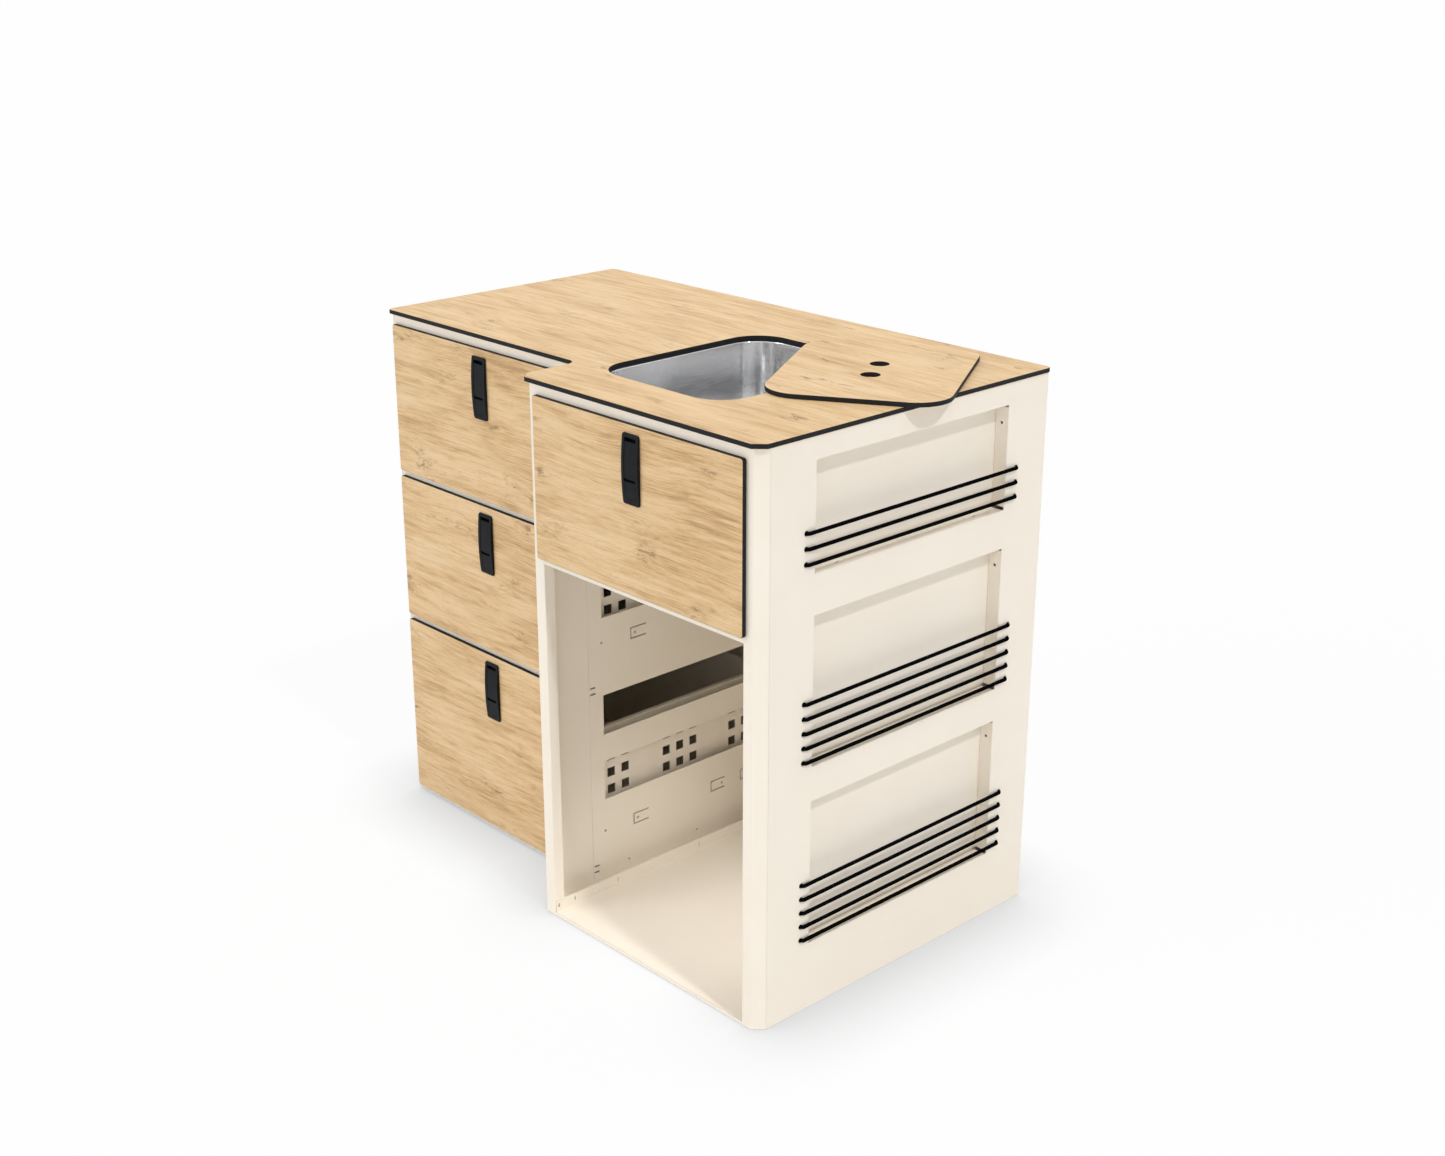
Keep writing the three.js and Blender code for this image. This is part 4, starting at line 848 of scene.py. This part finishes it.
def lacing(low, high, lines):
    """The middle line of a cord in the box from low to high, from knot to knot, from its top line down."""
    right, back = Vector((1, 0, 0)), Vector((0, 1, 0))
    outside = high.x - CORD_RADIUS - CORD_BEND_RADIUS
    behind = high.x - CORD_RADIUS - CORD_BEHIND + CORD_BEND_RADIUS
    ends = (low.y + KNOT_RADIUS, high.y - KNOT_RADIUS)
    points = []
    for line in range(lines):
        height = high.z - KNOT_RADIUS - line * CORD_PITCH
        start, end = ends if line % 2 == 0 else ends[::-1]
        along = back if end > start else -back
        if line == 0:
            points.append(Vector((low.x + KNOT_RADIUS, start, height)))
        else:
            points += bend(Vector((behind, start, height + CORD_BEND_RADIUS)), -right, -UP)
        points += bend(Vector((outside, start, height)) + along * CORD_BEND_RADIUS, -along, right)
        points += bend(Vector((outside, end, height)) - along * CORD_BEND_RADIUS, right, along)
        if line == lines - 1:
            points.append(Vector((low.x + KNOT_RADIUS, end, height)))
        else:
            points += bend(Vector((behind, end, height - CORD_BEND_RADIUS)), UP, -right)
    return points


def without_repeats(points):
    """The points without those that lie on the one before."""
    kept = points[:1]
    for before, point in zip(points, points[1:]):
        if (point - before).length > SAME_POINT:
            kept.append(point)
    return kept


def tube(work, points, radius):
    """A closed tube of even radius along points, turned as little as possible from ring to ring."""
    rings = []
    across = None
    for index, point in enumerate(points):
        before, after = points[max(index - 1, 0)], points[min(index + 1, len(points) - 1)]
        along = ((point - before).normalized() + (after - point).normalized()).normalized()
        across = across or along.orthogonal()
        across = (across - along * across.dot(along)).normalized()
        side = along.cross(across)
        turns = (2 * math.pi * corner / TUBE_SIDES for corner in range(TUBE_SIDES))
        rings.append([work.verts.new(point + radius * (across * math.cos(turn) + side * math.sin(turn)))
                      for turn in turns])
    for first, second in zip(rings, rings[1:]):
        for corner in range(TUBE_SIDES):
            work.faces.new((first[corner - 1], first[corner], second[corner], second[corner - 1]))
    work.faces.new(rings[0][::-1])
    work.faces.new(rings[-1])


def knot(work, middle):
    """A pulled-tight overhand knot: a ball with grooves that wind round it."""
    made = bmesh.ops.create_uvsphere(work, u_segments=KNOT_SIDES, v_segments=KNOT_RINGS, radius=KNOT_RADIUS)
    for vertex in made["verts"]:
        turn = math.atan2(vertex.co.z, vertex.co.y) + vertex.co.x / KNOT_RADIUS
        groove = math.cos(KNOT_GROOVES / 2 * turn) ** KNOT_GROOVE_SHARPNESS
        vertex.co *= 1 - KNOT_GROOVE_DEPTH * groove
        vertex.co += middle


for pocket, lines in CORD_LINES.items():
    node = f"{pocket}_pocket_cord"
    route = without_repeats(lacing(*(Vector(corner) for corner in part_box(node)), lines))
    work = bmesh.new()
    tube(work, route, CORD_RADIUS)
    knot(work, route[0])
    knot(work, route[-1])
    add_piece(f"{node}_lacing", work, ["black_elastic"], node)


# Sink basin, pressed from one sheet of steel

# The sheet's thickness, the flange's width, the radii of the corners, of the bend at the foot and of
# the lip, and how far the drain's rim overlaps its hole
BASIN_SHEET = 0.001
BASIN_FLANGE = 0.014
BASIN_CORNER = 0.05
BASIN_FOOT = 0.022
BASIN_LIP = 0.0013
DRAIN_RIM = 0.006
CORNER_STEPS = 14
FOOT_STEPS = 10
LIP_STEPS = 4
DRAIN_SIDES = 64


def rounded_ring(work, middle, half, spread, height):
    """A level ring round the sink's opening, spread further out than the opening's edge."""
    corner = BASIN_CORNER + spread
    points = []
    for quarter, (side_x, side_y) in enumerate(((1, 1), (-1, 1), (-1, -1), (1, -1))):
        centre_x = middle.x + side_x * (half.x - BASIN_CORNER)
        centre_y = middle.y + side_y * (half.y - BASIN_CORNER)
        for step in range(CORNER_STEPS + 1):
            turn = math.pi / 2 * (quarter + step / CORNER_STEPS)
            across, along = corner * math.cos(turn), corner * math.sin(turn)
            points.append(Vector((centre_x + across, centre_y + along, height)))
    return closed_ring(work, points)


def drain_ring(work, drain, radius, height):
    """A level ring round the drain's hole."""
    points = []
    for side in range(DRAIN_SIDES):
        turn = 2 * math.pi * side / DRAIN_SIDES
        across, along = radius * math.cos(turn), radius * math.sin(turn)
        points.append(Vector((drain.x + across, drain.y + along, height)))
    return closed_ring(work, points)


def pressed_profile(spread, top, foot, lip, foot_radius):
    """How far the wall is spread at each height, from the flange down to the flat foot."""
    profile = [(BASIN_FLANGE, top)]
    for step in range(LIP_STEPS + 1):
        turn = math.pi / 2 * step / LIP_STEPS
        profile.append((spread + lip * (1 - math.sin(turn)), top - lip * (1 - math.cos(turn))))
    for step in range(FOOT_STEPS + 1):
        turn = math.pi / 2 * step / FOOT_STEPS
        inward, rise = foot_radius * (1 - math.cos(turn)), foot_radius * (1 - math.sin(turn))
        profile.append((spread - inward, foot + rise))
    return profile


def basin():
    """The basin with its flange, its wall and its flat foot with the drain's hole, as one sheet."""
    low, high = (Vector(corner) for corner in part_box("sink_basin"))
    middle = (low + high) / 2
    half = (high - low) / 2 - Vector((BASIN_FLANGE, BASIN_FLANGE, 0))
    drain_low, drain_high = (Vector(corner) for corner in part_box("sink_drain"))
    drain = (drain_low + drain_high) / 2
    drain_radius = (drain_high.x - drain_low.x) / 2 - DRAIN_RIM
    inside = pressed_profile(0, high.z, low.z + BASIN_SHEET, BASIN_LIP, BASIN_FOOT)
    outside = pressed_profile(
        BASIN_SHEET, high.z - BASIN_SHEET, low.z, BASIN_LIP - BASIN_SHEET, BASIN_FOOT + BASIN_SHEET)
    work = bmesh.new()
    inner_rings = [rounded_ring(work, middle, half, *place) for place in inside]
    outer_rings = [rounded_ring(work, middle, half, *place) for place in outside]
    holes = [drain_ring(work, drain, drain_radius, height) for height in (low.z + BASIN_SHEET, low.z)]
    for rings in (inner_rings[::-1], outer_rings, [inner_rings[0], outer_rings[0]], holes):
        for (upper, _), (lower, _) in zip(rings, rings[1:]):
            for index in range(len(upper)):
                work.faces.new((upper[index - 1], upper[index], lower[index], lower[index - 1]))
    for rings, hole, side in ((inner_rings, holes[0], UP), (outer_rings, holes[1], -UP)):
        bmesh.ops.triangle_fill(work, edges=rings[-1][1] + hole[1], use_beauty=True, normal=side)
    bmesh.ops.recalc_face_normals(work, faces=work.faces)
    add_piece("sink_basin_pressing", work, ["stainless_steel"], "sink_basin")


basin()


# Moulded latches

MOULD_ROUND = 0.00028
MOULD_SEGMENTS = 2


def moulded(node, material):
    """The node's own shape with all its edges rounded as a mould rounds them."""
    piece = add_piece(f"{node}_moulding", merged_mesh(node), [material], node)
    rounding = piece.modifiers.new("round_edges", "BEVEL")
    rounding.width = MOULD_ROUND
    rounding.segments = MOULD_SEGMENTS
    rounding.limit_method = "ANGLE"
    rounding.angle_limit = EDGE_ANGLE
    rounding.harden_normals = True


# Every node that has no piece yet: latches as mouldings, the rest as sheets

for node, slot in slots.items():
    if slot in ("oak_laminate", "black_elastic") or node == "sink_basin":
        continue
    if slot == "black_plastic":
        moulded(node, slot)
    else:
        soft_edged(node, slot, STACKED_SHEET_ROUNDING if node in STACKED_SHEETS else SHEET_ROUNDING)


# Studio

# Yaw and pitch down are in degrees, lens and sensor in millimetres
CAMERA_PLACE = (1.9613, -1.7511, 1.3992)
CAMERA_YAW = 46.80
CAMERA_PITCH = 20.27
CAMERA_LENS = 49.27
CAMERA_SENSOR = 36
CAMERA_NEAR = 0.05
CAMERA_FAR = 100

WORLD_LIGHT = 0.44

# The floor: what it throws back on the object, how much of the lamps' shadows it shows, how white it
# is where nothing shades it, and how far and how strongly its painted contact shadow darkens it round what
# stands on it
FLOOR_BOUNCE = 0.9
FLOOR_SHADE_SHARE = 0.07
FLOOR_WHITE = 0.99
PAINTED_CONTACT_REACH = 0.15
PAINTED_CONTACT_SHADE = 0.5
FLOOR_ROUGHNESS = 0.9
FLOOR_RADIUS = 40
FLOOR_SIDES = 64
FLOOR_DROP = 0.0005

# Name, direction it comes from, angle it spreads over in degrees, strength
FAR_LIGHTS = (
    ("side_light", Vector((1, -0.12, 1.27)).normalized(), 4, 1.0),
    ("front_light", Vector((-0.4, -0.85, 0.42)).normalized(), 30, 0.84),
    ("fill_light", Vector((0.70, -0.68, 0.25)).normalized(), 60, 0.16),
    ("top_light", UP, 50, 0.88),
)

# A lamp in the open cavity. Its cone is in degrees and fades from its middle, its power is in watts.
CAVITY_LAMP_PLACE = Vector((0.33, 0.02, 0.43))
CAVITY_LAMP_TARGET = Vector((0.19, -0.08, 0))
CAVITY_LAMP_CONE = 76
CAVITY_LAMP_FADE = 1
CAVITY_LAMP_RADIUS = 0.04
CAVITY_LAMP_POWER = 3.4


def camera():
    """The camera at the photograph's viewpoint."""
    data = bpy.data.cameras.new("camera")
    data.lens = CAMERA_LENS
    data.sensor_width = CAMERA_SENSOR
    data.clip_start = CAMERA_NEAR
    data.clip_end = CAMERA_FAR
    body = new_object("camera", data)
    body.location = CAMERA_PLACE
    body.rotation_euler = Euler((math.radians(90 - CAMERA_PITCH), 0, math.radians(CAMERA_YAW)))
    bpy.context.scene.camera = body


def seen_directly(tree):
    """1 for the rays that show the background itself, through a lens, a mirror or glass."""
    path = tree.nodes.new("ShaderNodeLightPath").outputs
    total = path["Is Camera Ray"]
    for other in ("Is Glossy Ray", "Is Transmission Ray"):
        adder = tree.nodes.new("ShaderNodeMath")
        adder.operation = "MAXIMUM"
        tree.links.new(total, adder.inputs[0])
        tree.links.new(path[other], adder.inputs[1])
        total = adder.outputs[0]
    return total


def world():
    """White where it is seen, and an even soft light on the object."""
    surroundings = bpy.data.worlds.new("studio")
    surroundings.use_nodes = True
    tree = surroundings.node_tree
    background = tree.nodes["Background"]
    background.inputs["Color"].default_value = (1, 1, 1, 1)
    strength = tree.nodes.new("ShaderNodeMapRange")
    strength.inputs["To Min"].default_value = WORLD_LIGHT
    strength.inputs["To Max"].default_value = 1
    tree.links.new(seen_directly(tree), strength.inputs["Value"])
    tree.links.new(strength.outputs[0], background.inputs["Strength"])
    bpy.context.scene.world = surroundings


def far_light(name, source, spread, strength):
    """A lamp so far away that only its direction counts."""
    data = bpy.data.lights.new(name, "SUN")
    data.angle = math.radians(spread)
    data.energy = strength
    new_object(name, data).rotation_euler = source.to_track_quat("Z", "Y").to_euler()


def cavity_light():
    """A small soft lamp high up in the open cavity, out of the camera's sight."""
    data = bpy.data.lights.new("cavity_light", "SPOT")
    data.spot_size = math.radians(CAVITY_LAMP_CONE)
    data.spot_blend = CAVITY_LAMP_FADE
    data.shadow_soft_size = CAVITY_LAMP_RADIUS
    data.energy = CAVITY_LAMP_POWER
    body = new_object("cavity_light", data)
    body.location = CAVITY_LAMP_PLACE
    backwards = CAVITY_LAMP_PLACE - CAVITY_LAMP_TARGET
    body.rotation_euler = backwards.to_track_quat("Z", "Y").to_euler()


def floor():
    """A pale floor that fades into the white background, with a little of the lamps' real shadow and a
    painted contact shadow round what stands on it.
    """
    work = bmesh.new()
    bmesh.ops.create_circle(work, cap_ends=True, segments=FLOOR_SIDES, radius=FLOOR_RADIUS)
    mesh = bpy.data.meshes.new("floor")
    work.to_mesh(mesh)
    work.free()
    body = new_object("floor", mesh)
    body.location.z = -FLOOR_DROP
    paint = Paint("floor", Roughness=FLOOR_ROUGHNESS, Specular_IOR_Level=0, Emission_Color=(1, 1, 1, 1))
    direct = seen_directly(paint.tree)
    lit = paint.mix(direct, (FLOOR_BOUNCE,) * 3, (FLOOR_SHADE_SHARE,) * 3)
    open_light = WORLD_LIGHT + sum(source.z * strength for _, source, _, strength in FAR_LIGHTS) / math.pi
    # The glow is white where nothing shades it, less the lamps' share that shows as real shade. Ambient
    # occlusion dims it further as a painted contact shadow close to what stands on it.
    shaded_white = FLOOR_WHITE - FLOOR_SHADE_SHARE * open_light - PAINTED_CONTACT_SHADE
    openness = paint.add("AmbientOcclusion", {"Distance": PAINTED_CONTACT_REACH})["AO"]
    glow_with_painted_shadow = paint.maths("MULTIPLY_ADD", openness, PAINTED_CONTACT_SHADE, shaded_white)
    paint.put(paint.shader.inputs["Base Color"], lit)
    paint.put(paint.shader.inputs["Emission Strength"], paint.maths("MULTIPLY", direct, glow_with_painted_shadow))
    mesh.materials.append(paint.material)


camera()
world()
floor()
cavity_light()
for far in FAR_LIGHTS:
    far_light(*far)
bpy.context.scene.view_settings.view_transform = "Standard"
